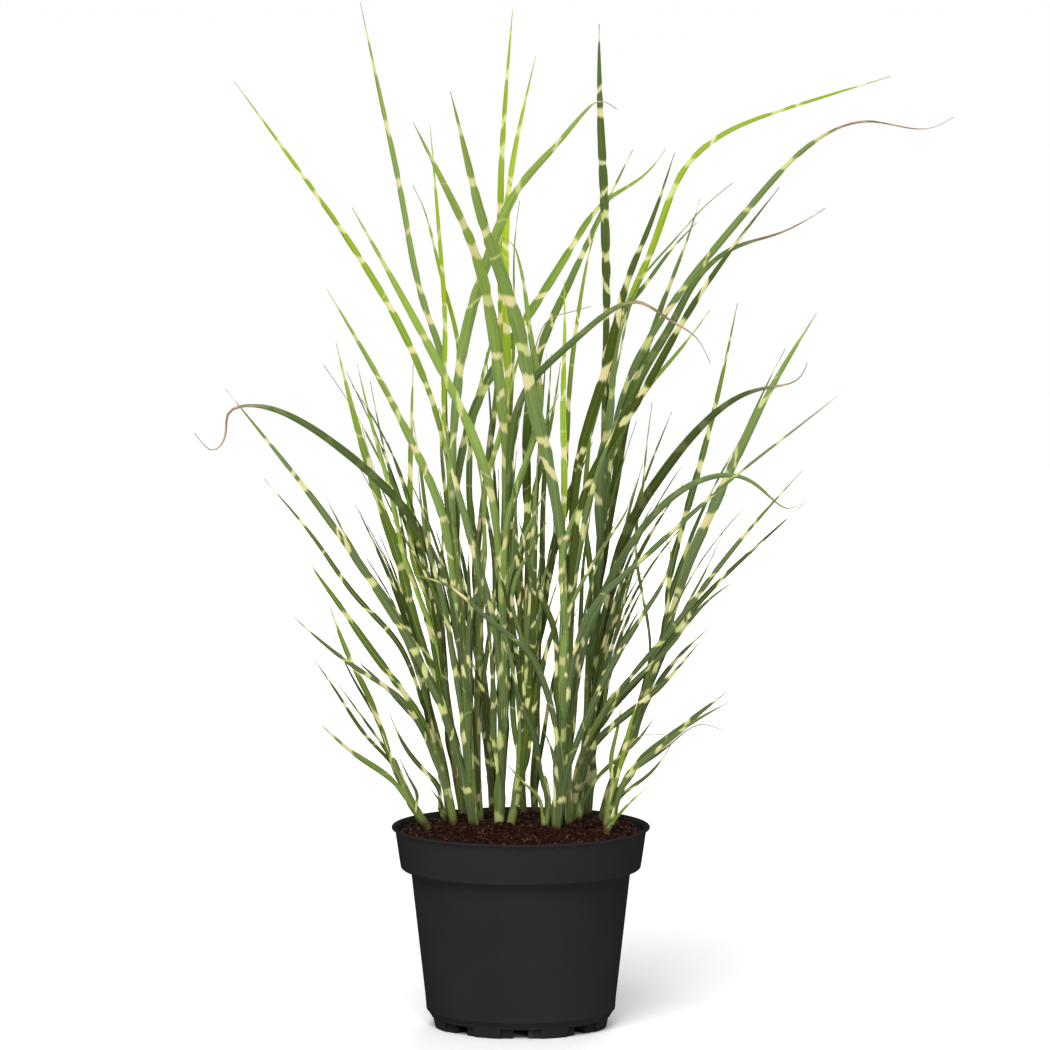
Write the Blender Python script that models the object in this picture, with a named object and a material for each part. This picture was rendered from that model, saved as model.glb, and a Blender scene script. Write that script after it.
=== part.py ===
"""Potted miscanthus grass clump: a plastic nursery pot, its soil, twenty shoots and the larger leaf blades.

Metres, +Z up. The origin is on the ground, at the centre of the pot's base. Each shoot stands on the soil,
and each blade starts beside its shoot and runs out to its tip.
"""

import math

import bmesh
import bpy
import numpy as np
from mathutils import Matrix, Vector

# Driving dimensions, in metres.
rimRadius = 0.095
potHeight = 0.148
collarBottom = 0.1205
footRadius = 0.0645
floorTop = 0.009
soilRim = 0.1432
soilCrown = 0.1478
channelWidth = 0.011
channelHeight = 0.0062
channelStart = 0.021
recessWidth = 0.030
recessHeight = 0.0075
recessDepth = 0.0035
notchCount = 8
gap = 0.0005
soilGap = 0.0009
bladeThickness = 0.0009
foldShare = 0.13
turnSteps = 64
shootSides = 8

cm = 0.01
mm = 0.001

# Shoots: name, diameter at the foot and at the top in millimetres, then the centre line from the soil upwards
# as x (right), y (back), z (up) in centimetres. The first z is replaced by the soil's height there.
shoots = [
    ("shoot_left_outer", 8.5, 5.0, [(-6.8, -0.7, 14.5), (-8.1, -0.4, 16.8), (-9.4, 0.2, 19.8)]),
    ("shoot_left_stub", 5.5, 3.5, [(-5.5, 1.6, 14.6), (-6.0, 1.9, 16.6)]),
    ("shoot_left_low", 8.0, 6.0,
     [(-4.9, 0.0, 14.6), (-5.3, 0.3, 17.0), (-6.0, 0.8, 19.4), (-6.9, 1.4, 22.2)]),
    ("shoot_left_back", 7.5, 6.0,
     [(-5.3, 3.4, 14.6), (-5.5, 3.9, 17.6), (-6.1, 4.3, 20.4), (-6.9, 4.8, 23.4), (-7.6, 5.3, 26.0)]),
    ("shoot_left_inner", 8.5, 6.0,
     [(-4.2, 4.0, 14.6), (-4.8, 4.4, 18.5), (-5.3, 4.5, 22.5), (-5.8, 4.5, 26.5), (-6.0, 4.5, 31.0)]),
    ("shoot_left_tall", 9.5, 5.5,
     [(-3.4, -1.3, 14.7), (-3.7, -1.3, 18.5), (-3.9, -1.2, 23.5), (-4.2, -1.0, 28.5), (-4.6, -0.8, 33.5),
      (-5.0, -0.6, 38.5), (-5.3, -0.4, 44.0)]),
    ("shoot_middle_left", 8.0, 5.5,
     [(-3.0, 0.3, 14.8), (-3.2, 0.4, 18.5), (-3.2, 0.4, 22.5), (-3.1, 0.4, 27.0), (-2.9, 0.4, 31.5),
      (-2.8, 0.4, 35.2)]),
    ("shoot_middle_tall", 9.0, 7.0,
     [(-1.6, -1.4, 14.8), (-1.4, -1.4, 19.5), (-1.25, -1.3, 25.0), (-1.3, -1.2, 31.0), (-1.2, -1.1, 36.0),
      (-1.05, -1.0, 41.5)]),
    ("shoot_middle_fan", 8.0, 5.0,
     [(-0.8, -2.4, 14.8), (-0.3, -2.5, 17.5), (0.2, -2.5, 21.0), (0.4, -2.4, 25.0), (0.4, -2.3, 29.0),
      (0.5, -2.2, 33.0)]),
    ("shoot_middle_bright", 9.0, 6.0,
     [(2.6, -3.0, 14.7), (2.9, -3.0, 20.5), (3.05, -3.1, 28.5), (3.15, -3.2, 33.0), (3.0, -3.3, 36.7)]),
    ("shoot_middle_short", 7.0, 4.5, [(1.7, -2.6, 14.7), (2.0, -2.2, 16.8), (1.7, -2.0, 18.8)]),
    ("shoot_middle_thin", 7.0, 3.5,
     [(3.5, -1.2, 14.7), (3.5, -1.2, 19.0), (3.6, -1.1, 24.0), (3.7, -1.0, 29.0), (4.0, -0.9, 34.0)]),
    ("shoot_right_tall", 9.0, 5.0,
     [(4.9, 4.0, 14.6), (5.1, 3.9, 19.0), (5.5, 3.7, 25.0), (5.6, 3.5, 31.0), (5.9, 3.4, 36.9),
      (6.1, 3.3, 42.7), (6.15, 3.2, 48.7)]),
    ("shoot_right_inner", 7.5, 5.5,
     [(4.2, 1.5, 14.7), (4.4, 1.6, 18.0), (4.75, 1.8, 21.0), (4.9, 2.0, 24.5), (5.0, 2.0, 28.0)]),
    ("shoot_right_lean", 8.5, 6.5,
     [(5.9, 2.6, 14.5), (6.6, 2.4, 17.2), (7.7, 2.2, 20.3), (8.8, 2.0, 23.5), (10.2, 1.8, 28.2)]),
    ("shoot_right_outer", 8.5, 5.0, [(6.3, -2.8, 14.5), (6.45, -2.9, 16.8), (6.8, -3.0, 18.8)]),
    ("shoot_back_dark", 7.0, 4.5,
     [(0.2, 4.6, 14.6), (0.1, 4.8, 18.0), (0.4, 5.0, 22.0), (0.5, 5.2, 26.0), (0.2, 5.4, 30.0)]),
    ("shoot_back_right", 7.0, 4.5,
     [(1.1, 6.0, 14.4), (0.95, 6.2, 17.5), (1.2, 6.4, 21.0), (1.0, 6.6, 25.0), (1.4, 6.8, 29.5)]),
    ("shoot_back_tall", 7.5, 5.0,
     [(-2.1, 6.2, 14.4), (-2.2, 6.3, 18.5), (-2.5, 6.4, 22.5), (-3.0, 6.5, 27.0), (-3.3, 6.6, 32.0),
      (-2.8, 6.7, 38.0), (-2.1, 6.8, 44.0)]),
    ("shoot_right_slant", 8.0, 6.0,
     [(3.7, 0.1, 14.7), (3.9, 0.1, 17.0), (4.5, -0.1, 19.9), (5.5, -0.3, 22.2), (7.0, -0.5, 24.8)]),
]

# Blades: name, the shoot that carries it, the height on that shoot in centimetres where it leaves ("top" goes on
# from the shoot's end), the side it leaves from as a compass angle in degrees (0 right, 90 back, 180 left,
# 270 front), greatest width in millimetres, then the points from there out to the tip in centimetres.
leaves = [
    ("leaf_left_sweep", "shoot_left_tall", 42.5, 170, 6.5,
     [(-8.1, 1.2, 50.0), (-11.7, 3.4, 56.1), (-15.4, 5.6, 61.3), (-21.1, 8.0, 69.0)]),
    ("leaf_top_highest", "shoot_left_tall", "top", 0, 6.5,
     [(-5.8, -0.5, 49.4), (-6.9, -1.2, 52.8), (-8.9, -2.0, 62.3), (-9.8, -2.5, 66.7), (-11.6, -3.0, 75.4)]),
    ("leaf_left_front", "shoot_middle_tall", 34.0, 215, 8.5,
     [(-2.5, -2.8, 41.0), (-5.0, -4.2, 47.3), (-8.9, -6.6, 55.0), (-12.1, -9.0, 61.0)]),
    ("leaf_top_front", "shoot_middle_tall", "top", 0, 10.5,
     [(-1.35, -2.4, 44.8), (-1.8, -4.0, 49.4), (-3.1, -6.4, 56.8), (-5.3, -9.0, 62.2),
      (-7.7, -11.0, 67.3)]),
    ("leaf_middle_widest", "shoot_middle_bright", "top", 0, 12.5,
     [(2.3, -4.2, 40.7), (0.9, -6.0, 46.7), (-0.1, -8.0, 52.0), (-2.5, -11.0, 59.6), (-4.4, -13.6, 67.3),
      (-5.0, -14.6, 69.7)]),
    ("leaf_top_back", "shoot_back_tall", "top", 0, 6.5,
     [(-1.5, 7.4, 50.0), (-1.5, 8.8, 59.0), (-1.2, 10.4, 66.8), (-0.6, 12.0, 74.2)]),
    ("leaf_top_curl", "shoot_left_tall", 41.0, 300, 9.5,
     [(-3.5, -2.2, 53.3), (-2.5, -3.2, 56.5), (-0.1, -5.0, 62.2), (2.8, -6.6, 65.6), (4.7, -7.6, 67.9),
      (5.7, -8.0, 68.6), (6.9, -8.2, 68.0)]),
    ("leaf_top_bright", "shoot_middle_tall", 39.5, 60, 7.5,
     [(-0.9, 1.2, 47.5), (-1.1, 4.4, 52.5), (-1.1, 7.4, 58.5), (-0.3, 10.4, 64.6), (1.1, 13.0, 70.6)]),
    ("leaf_right_upright", "shoot_right_tall", "top", 0, 9.0,
     [(6.2, 3.0, 51.2), (6.15, 2.4, 56.2), (6.0, 1.6, 62.0), (5.75, 0.8, 68.0), (5.7, 0.0, 73.7)]),
    ("leaf_back_diagonal", "shoot_left_tall", 37.5, 60, 8.5,
     [(-3.9, 1.4, 44.0), (-2.2, 3.6, 47.7), (0.3, 6.0, 51.5), (3.9, 9.2, 56.9), (6.3, 11.6, 59.9),
      (9.4, 13.6, 61.9), (10.8, 14.4, 63.6)]),
    ("leaf_back_olive", "shoot_middle_fan", "top", 0, 9.0,
     [(0.5, 0.0, 39.8), (1.4, 3.4, 49.3), (3.6, 6.4, 54.2), (5.1, 8.2, 57.4), (8.3, 11.0, 63.8)]),
    ("leaf_front_arch", "shoot_middle_tall", 36.5, 300, 6.5,
     [(0.6, -3.6, 47.6), (2.8, -5.2, 50.1), (5.0, -6.8, 52.2), (8.6, -8.8, 54.1), (10.8, -10.0, 52.9),
      (12.5, -11.0, 51.9), (13.6, -11.6, 50.0)]),
    ("leaf_right_dark", "shoot_middle_bright", 33.0, 20, 9.0,
     [(4.4, -2.6, 43.0), (6.0, -3.2, 48.2), (7.8, -4.0, 55.4), (9.1, -4.6, 58.7), (11.1, -5.6, 64.7)]),
    ("leaf_right_sweep", "shoot_right_tall", 46.0, 20, 7.0,
     [(7.5, 4.0, 51.6), (9.9, 5.0, 57.4), (12.4, 6.0, 63.1), (15.0, 6.8, 65.2), (19.0, 7.8, 66.8),
      (27.3, 9.6, 69.3)]),
    ("leaf_right_longest", "shoot_right_tall", 41.0, 330, 6.5,
     [(8.1, 1.2, 48.2), (12.3, -0.8, 55.1), (16.8, -2.8, 60.8), (21.1, -4.2, 65.3), (25.2, -5.2, 66.9),
      (29.6, -5.9, 66.5), (31.2, -6.1, 67.3)]),
    ("leaf_right_front", "shoot_middle_bright", 31.0, 335, 7.5,
     [(3.9, -4.4, 36.8), (5.0, -5.0, 41.0), (7.8, -6.6, 45.8), (11.7, -8.6, 52.8), (14.7, -9.8, 57.5),
      (18.5, -11.0, 62.6)]),
    ("leaf_right_bowed", "shoot_right_tall", 33.0, 30, 8.5,
     [(7.0, 4.6, 39.8), (8.7, 5.8, 47.0), (11.1, 7.6, 50.9), (12.8, 8.8, 53.9), (15.9, 10.6, 56.5),
      (19.1, 12.0, 57.4), (22.7, 13.0, 59.3)]),
    ("leaf_middle_cross", "shoot_middle_tall", 26.5, 225, 7.5,
     [(-2.2, -2.2, 31.1), (-3.0, -2.6, 33.9), (-3.8, -2.9, 37.0), (-4.7, -3.2, 40.4), (-5.9, -3.6, 46.0)]),
    ("leaf_low_cross", "shoot_middle_bright", 20.5, 240, 6.0,
     [(1.7, -4.2, 25.8), (0.6, -4.8, 28.1), (-2.2, -5.6, 30.6), (-5.5, -6.2, 33.4), (-8.2, -6.6, 34.2)]),
    ("leaf_right_curl", "shoot_middle_bright", 17.0, 300, 6.0,
     [(4.2, -4.4, 21.9), (6.0, -5.2, 26.1), (9.2, -6.8, 31.8), (10.65, -7.8, 34.6), (10.8, -8.2, 36.2),
      (9.7, -8.6, 37.8)]),
    ("leaf_right_spear", "shoot_right_lean", "top", 0, 6.5,
     [(10.9, 2.6, 32.3), (12.0, 3.6, 36.9), (14.3, 5.6, 45.2), (16.0, 7.4, 52.7)]),
    ("leaf_right_broad", "shoot_right_lean", 25.5, 330, 10.0,
     [(12.0, 1.0, 33.0), (14.0, 0.2, 38.0), (18.6, -1.4, 47.8), (21.5, -2.4, 52.8)]),
    ("leaf_right_drooping", "shoot_right_tall", 25.5, 350, 9.0,
     [(7.6, 1.8, 35.9), (10.2, 0.0, 40.6), (12.7, -2.0, 44.0), (15.0, -3.8, 46.3), (17.7, -5.4, 47.6),
      (20.2, -6.4, 48.5), (20.7, -6.7, 49.6)]),
    ("leaf_right_straight", "shoot_middle_bright", 24.0, 345, 6.0,
     [(5.4, -4.4, 31.6), (8.0, -5.6, 34.4), (11.6, -7.2, 37.9), (15.7, -8.8, 41.7), (19.6, -10.2, 45.0),
      (22.7, -11.2, 47.6)]),
    ("leaf_right_arch", "shoot_right_inner", "top", 0, 7.5,
     [(5.9, 1.6, 31.0), (7.6, 1.0, 34.6), (10.0, 0.0, 38.0), (12.7, -1.2, 40.2), (16.0, -2.4, 40.8),
      (17.6, -3.0, 39.9), (19.6, -3.6, 38.6), (20.7, -4.0, 39.4)]),
    ("leaf_right_low_front", "shoot_right_slant", "top", 0, 5.5,
     [(10.6, -1.6, 29.0), (14.8, -3.4, 34.8), (20.4, -5.4, 41.6)]),
    ("leaf_right_low_dark", "shoot_right_slant", 18.5, 330, 6.5,
     [(6.1, -2.2, 21.9), (8.7, -3.0, 24.2), (10.9, -3.8, 26.4), (13.0, -4.6, 29.0)]),
    ("leaf_right_bottom", "shoot_right_outer", 16.5, 340, 7.5,
     [(9.0, -4.0, 20.4), (11.0, -4.6, 22.1), (13.1, -5.2, 23.9), (15.0, -5.8, 25.5)]),
    ("leaf_left_curl", "shoot_left_inner", "top", 0, 7.5,
     [(-6.7, 3.2, 34.6), (-8.8, 0.8, 38.5), (-10.9, -1.4, 40.9), (-14.0, -4.4, 43.8), (-17.1, -6.6, 45.9),
      (-19.3, -7.6, 46.5), (-21.1, -8.2, 46.0), (-21.3, -8.4, 44.4), (-22.0, -8.6, 43.4),
      (-23.5, -8.8, 44.7)]),
    ("leaf_left_long", "shoot_left_tall", 17.0, 210, 8.0,
     [(-5.5, -2.6, 23.2), (-8.1, -3.4, 28.9), (-11.3, -4.4, 34.1), (-15.8, -5.6, 40.6),
      (-21.3, -7.0, 47.7)]),
    ("leaf_left_back", "shoot_left_back", "top", 0, 6.0,
     [(-8.2, 5.9, 27.6), (-11.1, 7.8, 32.1), (-14.5, 9.8, 38.0)]),
    ("leaf_left_fine", "shoot_left_back", 23.0, 170, 5.0,
     [(-8.9, 6.2, 27.2), (-12.0, 8.2, 30.5), (-15.2, 10.2, 34.6), (-19.2, 12.4, 39.1)]),
    ("leaf_left_lower", "shoot_left_low", "top", 0, 7.0,
     [(-8.4, 1.9, 24.1), (-10.5, 2.4, 26.8), (-13.2, 3.2, 30.5), (-15.9, 4.0, 34.2)]),
    ("leaf_left_bunch", "shoot_left_inner", 24.0, 160, 9.0,
     [(-7.4, 4.8, 28.0), (-8.8, 5.6, 33.0), (-10.0, 6.4, 36.7), (-11.4, 7.4, 41.0), (-12.6, 8.2, 45.2),
      (-13.7, 9.0, 49.6)]),
    ("leaf_left_bright", "shoot_left_tall", 31.5, 200, 7.5,
     [(-5.9, -1.9, 38.5), (-7.2, -2.5, 41.8), (-9.4, -3.6, 46.4), (-14.0, -6.2, 54.9)]),
    ("leaf_left_flat", "shoot_left_low", 20.0, 215, 5.5,
     [(-8.8, -0.5, 24.2), (-11.8, -1.6, 26.5), (-13.8, -2.5, 28.1), (-16.8, -4.0, 31.0)]),
    ("leaf_left_base", "shoot_left_outer", "top", 0, 7.0,
     [(-10.9, 1.0, 23.4), (-12.6, 2.4, 26.8), (-14.1, 4.0, 30.6)]),
    ("leaf_left_lowest", "shoot_left_outer", 17.4, 200, 5.5, [(-11.8, -1.8, 20.1), (-14.6, -3.0, 22.7)]),
]


def clearScene():
    for item in list(bpy.data.objects):
        bpy.data.objects.remove(item, do_unlink=True)


def makeMaterial(name, colour, roughness):
    material = bpy.data.materials.new(name)
    material.use_nodes = True
    shader = material.node_tree.nodes["Principled BSDF"]
    shader.inputs["Base Color"].default_value = (*colour, 1.0)
    shader.inputs["Roughness"].default_value = roughness
    shader.inputs["Metallic"].default_value = 0.0
    return material


def addObject(name, form, material):
    """Turns a bmesh into a linked object with outward faces."""
    bmesh.ops.recalc_face_normals(form, faces=form.faces)
    mesh = bpy.data.meshes.new(name)
    form.to_mesh(mesh)
    form.free()
    mesh.materials.append(material)
    item = bpy.data.objects.new(name, mesh)
    bpy.context.scene.collection.objects.link(item)
    mesh.shade_smooth()
    mesh.set_sharp_from_angle(angle=math.radians(40))
    return item


def turned(profile):
    """A closed solid turned round Z from (radius, height) points that start and end on the axis."""
    form = bmesh.new()
    points = [form.verts.new((radius, 0.0, height)) for radius, height in profile]
    edges = [form.edges.new(pair) for pair in zip(points, points[1:])]
    bmesh.ops.spin(
        form, geom=points + edges, cent=(0, 0, 0), axis=(0, 0, 1), angle=2 * math.pi, steps=turnSteps, use_merge=True
    )
    bmesh.ops.remove_doubles(form, verts=form.verts, dist=1e-6)
    return form


def innerWall():
    """The pot's inner profile from the floor's edge up to just under the lip."""
    return [
        (0.0635, floorTop),
        (0.0672, 0.0135),
        (0.0789, 0.1118),
        (0.0869, 0.1200),
        (0.0904, 0.1455),
    ]


def buildPot(material):
    """A tapered pot with a wider collar, a rolled lip and a notched foot."""
    outside = [
        (0.0, 0.0),
        (footRadius, 0.0),
        (0.0662, 0.0080),
        (0.0692, 0.0125),
        (0.0700, 0.0190),
        (0.0805, collarBottom - 0.0068),
        (0.0872, collarBottom - 0.0022),
        (0.0888, collarBottom),
        (0.0922, 0.1432),
        (rimRadius - 0.0010, 0.1440),
        (rimRadius, 0.1452),
        (rimRadius, 0.1469),
        (rimRadius - 0.0011, potHeight),
        (rimRadius - 0.0034, potHeight),
    ]
    pot = addObject("pot", turned(outside + innerWall()[::-1] + [(0.0, floorTop)]), material)
    cutFoot(pot)
    return pot


def cutFoot(pot):
    """Cuts a drainage channel and a wider recess at each of the foot's notches."""
    reach = footRadius + 0.010
    channel = cutterRing("channel_cutter", channelStart, reach, channelWidth, channelHeight)
    recess = cutterRing("recess_cutter", footRadius - recessDepth, reach, recessWidth, recessHeight)
    for cutter in (channel, recess):
        cut = pot.modifiers.new(cutter.name, "BOOLEAN")
        cut.operation = "DIFFERENCE"
        cut.solver = "EXACT"
        cut.object = cutter


def cutterRing(name, inner, outer, width, height):
    """Radial boxes under the foot, one for each notch, that reach below the ground."""
    form = bmesh.new()
    below = 0.002
    for index in range(notchCount):
        made = bmesh.ops.create_cube(form, size=1.0)["verts"]
        bmesh.ops.scale(form, vec=(outer - inner, width, height + below), verts=made)
        bmesh.ops.translate(form, vec=((inner + outer) / 2, 0.0, (height - below) / 2), verts=made)
        turn = index * 2 * math.pi / notchCount - math.pi / 2
        bmesh.ops.rotate(form, cent=(0, 0, 0), matrix=Matrix.Rotation(turn, 3, "Z"), verts=made)
    mesh = bpy.data.meshes.new(name)
    form.to_mesh(mesh)
    form.free()
    cutter = bpy.data.objects.new(name, mesh)
    cutter.hide_render = True
    cutter.display_type = "WIRE"
    bpy.context.scene.collection.objects.link(cutter)
    return cutter


def soilHeight(radius):
    """The soil is a low mound: highest in the middle, and lowest at the pot's wall."""
    return soilRim + (soilCrown - soilRim) * max(0.0, 1 - (radius / 0.09) ** 2)


def buildSoil(material):
    """The root ball fills the pot to just under its rim."""
    wall = [(radius - soilGap, height + soilGap / 2) for radius, height in innerWall()]
    slope = (wall[-1][0] - wall[-2][0]) / (wall[-1][1] - wall[-2][1])
    edge = wall[-2][0] + slope * (soilRim - wall[-2][1])
    top = [(radius, soilHeight(radius)) for radius in (0.074, 0.056, 0.038, 0.019, 0.0)]
    profile = [(0.0, wall[0][1])] + wall[:-1] + [(edge, soilRim)] + top
    return addObject("soil", turned(profile), material)


def smoothRoute(points, count):
    """Evenly spaced points along a natural cubic spline through the given points."""
    through = np.array(points, float)
    chords = np.linalg.norm(np.diff(through, axis=0), axis=1)
    knots = np.concatenate([[0.0], np.cumsum(chords)])
    size = len(through)
    system = np.eye(size)
    right = np.zeros_like(through)
    for index in range(1, size - 1):
        before, after = chords[index - 1], chords[index]
        system[index, index - 1 : index + 2] = before, 2 * (before + after), after
        rise = (through[index + 1] - through[index]) / after - (through[index] - through[index - 1]) / before
        right[index] = 6 * rise
    curve = np.linalg.solve(system, right)

    def at(place):
        span = min(max(int(np.searchsorted(knots, place)) - 1, 0), size - 2)
        width = chords[span]
        ahead, behind = place - knots[span], knots[span + 1] - place
        line = through[span] * behind / width + through[span + 1] * ahead / width
        bend = curve[span] * (behind**3 / width - width * behind) / 6
        return line + bend + curve[span + 1] * (ahead**3 / width - width * ahead) / 6

    fine = np.array([at(place) for place in np.linspace(0, knots[-1], 40 * size)])
    along = np.concatenate([[0.0], np.cumsum(np.linalg.norm(np.diff(fine, axis=0), axis=1))])
    even = np.linspace(0, along[-1], count)
    return np.column_stack([np.interp(even, along, fine[:, axis]) for axis in range(3)])


def closedSweep(rings):
    """Joins rings of equal size into one closed body, with a cap at each end."""
    form = bmesh.new()
    rows = [[form.verts.new(tuple(point)) for point in ring] for ring in rings]
    for row, following in zip(rows, rows[1:]):
        for index in range(len(row)):
            after = (index + 1) % len(row)
            form.faces.new((row[index], row[after], following[after], following[index]))
    form.faces.new(rows[0][::-1])
    form.faces.new(rows[-1])
    return form


def shootRoute(points):
    """A shoot's centre line in metres, starting just above the soil."""
    route = np.array(points, float) * cm
    route[0, 2] = soilHeight(math.hypot(*route[0, :2])) + soilGap
    return route


def buildShoot(name, footWidth, topWidth, points, material):
    """A round stem of overlapping sheaths that thins towards its top. Its foot is cut level."""
    route = shootRoute(points)
    length = np.linalg.norm(np.diff(route, axis=0), axis=1).sum()
    line = smoothRoute(route, max(3, round(length / 0.032) + 1))
    angles = np.arange(shootSides) * 2 * math.pi / shootSides
    rings = []
    for index, centre in enumerate(line):
        share = index / (len(line) - 1)
        radius = (footWidth + (topWidth - footWidth) * share) * mm / 2
        tangent = Vector(line[min(index + 1, len(line) - 1)] - line[max(index - 1, 0)]).normalized()
        if index == 0:
            tangent = Vector((0, 0, 1))
        across = tangent.cross(Vector((0, 1, 0))).normalized()
        deep = tangent.cross(across)
        rings.append([Vector(centre) + (across * math.cos(a) + deep * math.sin(a)) * radius for a in angles])
    return addObject(name, closedSweep(rings), material)


def leafStart(shoot, height, side):
    """Where a blade begins: beside its shoot at this height, or just past the shoot's top."""
    _, footWidth, topWidth, points = shoot
    line = smoothRoute(shootRoute(points), 60)
    if height == "top":
        way = Vector(line[-1] - line[-2]).normalized()
        return Vector(line[-1]) + way * 2 * gap
    index = int(np.argmin(abs(line[:, 2] - height * cm)))
    share = index / (len(line) - 1)
    radius = (footWidth + (topWidth - footWidth) * share) * mm / 2
    outward = Vector((math.cos(math.radians(side)), math.sin(math.radians(side)), 0.0))
    return Vector(line[index]) + outward * (radius + 0.0025)


def bladeWidth(share, width):
    """Narrow where the blade leaves its sheath, widest at a third, then a long taper to a fine tip."""
    base = 0.55 + 0.45 * math.sin(min(share / 0.3, 1.0) * math.pi / 2)
    taper = (1 - max(0.0, (share - 0.3) / 0.7) ** 1.7) ** 0.9
    return max(width * base * taper, 0.0009)


def faceDirection(tangent, lean):
    """The blade's upper side faces up and back to its stem, half turned to the front."""
    flat = Vector((0, 0, 1)) - tangent * tangent.z
    if flat.length < 0.2:
        flat = -lean
    front = Vector((0, -1, 0))
    front = (front - tangent * tangent.dot(front)).normalized()
    if flat.dot(front) < 0:
        front = -front
    return (flat.normalized() * 0.5 + front).normalized()


def buildLeaf(name, shoot, height, side, width, points, material):
    """A blade with a shallow V section, thick at the midrib and sharp at its two edges."""
    start = leafStart(shoot, height, side)
    route = [tuple(start)] + [tuple(c * cm for c in point) for point in points]
    length = np.linalg.norm(np.diff(np.array(route), axis=0), axis=1).sum()
    line = smoothRoute(route, max(8, round(length / 0.026) + 1))
    lean = Vector(line[-1] - line[0])
    lean.z = 0.0
    lean.normalize()
    rings = []
    for index, centre in enumerate(line):
        share = index / (len(line) - 1)
        tangent = Vector(line[min(index + 1, len(line) - 1)] - line[max(index - 1, 0)]).normalized()
        face = faceDirection(tangent, lean)
        across = tangent.cross(face).normalized()
        half = bladeWidth(share, width * mm) / 2
        fold = half * 2 * foldShare
        thick = min(bladeThickness, half * 2) / 2
        middle = Vector(centre)
        rings.append(
            [
                middle - across * half + face * fold,
                middle - face * thick,
                middle + across * half + face * fold,
                middle + face * thick,
            ]
        )
    return addObject(name, closedSweep(rings), material)


def main():
    clearScene()
    plastic = makeMaterial("pot_plastic", (0.022, 0.022, 0.023), 0.45)
    peat = makeMaterial("soil_peat", (0.035, 0.012, 0.007), 0.95)
    stem = makeMaterial("shoot_green", (0.16, 0.26, 0.07), 0.5)
    blade = makeMaterial("leaf_green", (0.15, 0.27, 0.08), 0.5)
    buildPot(plastic)
    buildSoil(peat)
    byName = {shoot[0]: shoot for shoot in shoots}
    for shoot in shoots:
        buildShoot(*shoot, stem)
    for name, shootName, height, side, width, points in leaves:
        buildLeaf(name, byName[shootName], height, side, width, points, blade)


main()
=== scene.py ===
import math
import random

import bmesh
import bpy
import numpy as np
from mathutils import Matrix, Vector, noise


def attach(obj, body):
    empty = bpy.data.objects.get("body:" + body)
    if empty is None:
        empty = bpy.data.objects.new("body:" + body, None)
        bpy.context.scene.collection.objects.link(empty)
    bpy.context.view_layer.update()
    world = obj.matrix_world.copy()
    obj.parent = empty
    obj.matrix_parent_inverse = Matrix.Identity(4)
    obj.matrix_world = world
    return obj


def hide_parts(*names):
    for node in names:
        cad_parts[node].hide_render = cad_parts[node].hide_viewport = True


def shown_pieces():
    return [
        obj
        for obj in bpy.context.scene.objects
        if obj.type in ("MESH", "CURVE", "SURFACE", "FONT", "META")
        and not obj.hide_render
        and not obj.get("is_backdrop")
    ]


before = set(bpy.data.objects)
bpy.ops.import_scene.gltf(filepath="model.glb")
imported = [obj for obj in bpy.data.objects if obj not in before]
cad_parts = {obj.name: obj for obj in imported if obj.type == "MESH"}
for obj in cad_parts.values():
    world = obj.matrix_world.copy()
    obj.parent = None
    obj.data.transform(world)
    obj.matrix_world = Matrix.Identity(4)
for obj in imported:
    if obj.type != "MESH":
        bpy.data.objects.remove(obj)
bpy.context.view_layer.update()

cm = 0.01
mm = 0.001
print("frame: %d nodes" % len(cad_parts))

# ---- camera, light and floor

studio = {
    "cameraDistance": 6.0,
    "cameraHeight": 1.054,
    "cameraAside": 0.0031,
    "cameraPitch": 6.5,  # degrees below level
    "lens": 282.86,
    "floorSize": 120.0,
    "floorTone": (0.86, 0.86, 0.86),
    "skyTone": (1.0, 1.0, 1.0),
    "skyStrength": 0.50,
    "sunStrength": 3.15,
    "sunSpread": 35.0,  # degrees
    "sunFrom": (-1.0, -4.0, 3.9),
    # name, place, size and power of each lamp
    "lamps": [("front", (0.9, -3.2, 1.2), 1.4, 20), ("back", (0.6, 3.2, 1.6), 1.8, 48)],
    "lampsLookAt": (0, 0, 0.3),
}


def aimedAt(place, target):
    return (Vector(target) - Vector(place)).to_track_quat("-Z", "Y").to_matrix().to_4x4()


def linked(name, data):
    item = bpy.data.objects.new(name, data)
    bpy.context.scene.collection.objects.link(item)
    return item


def addLight(light, place, target):
    linked(light.name, light).matrix_world = Matrix.Translation(Vector(place)) @ aimedAt(place, target)


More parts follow.
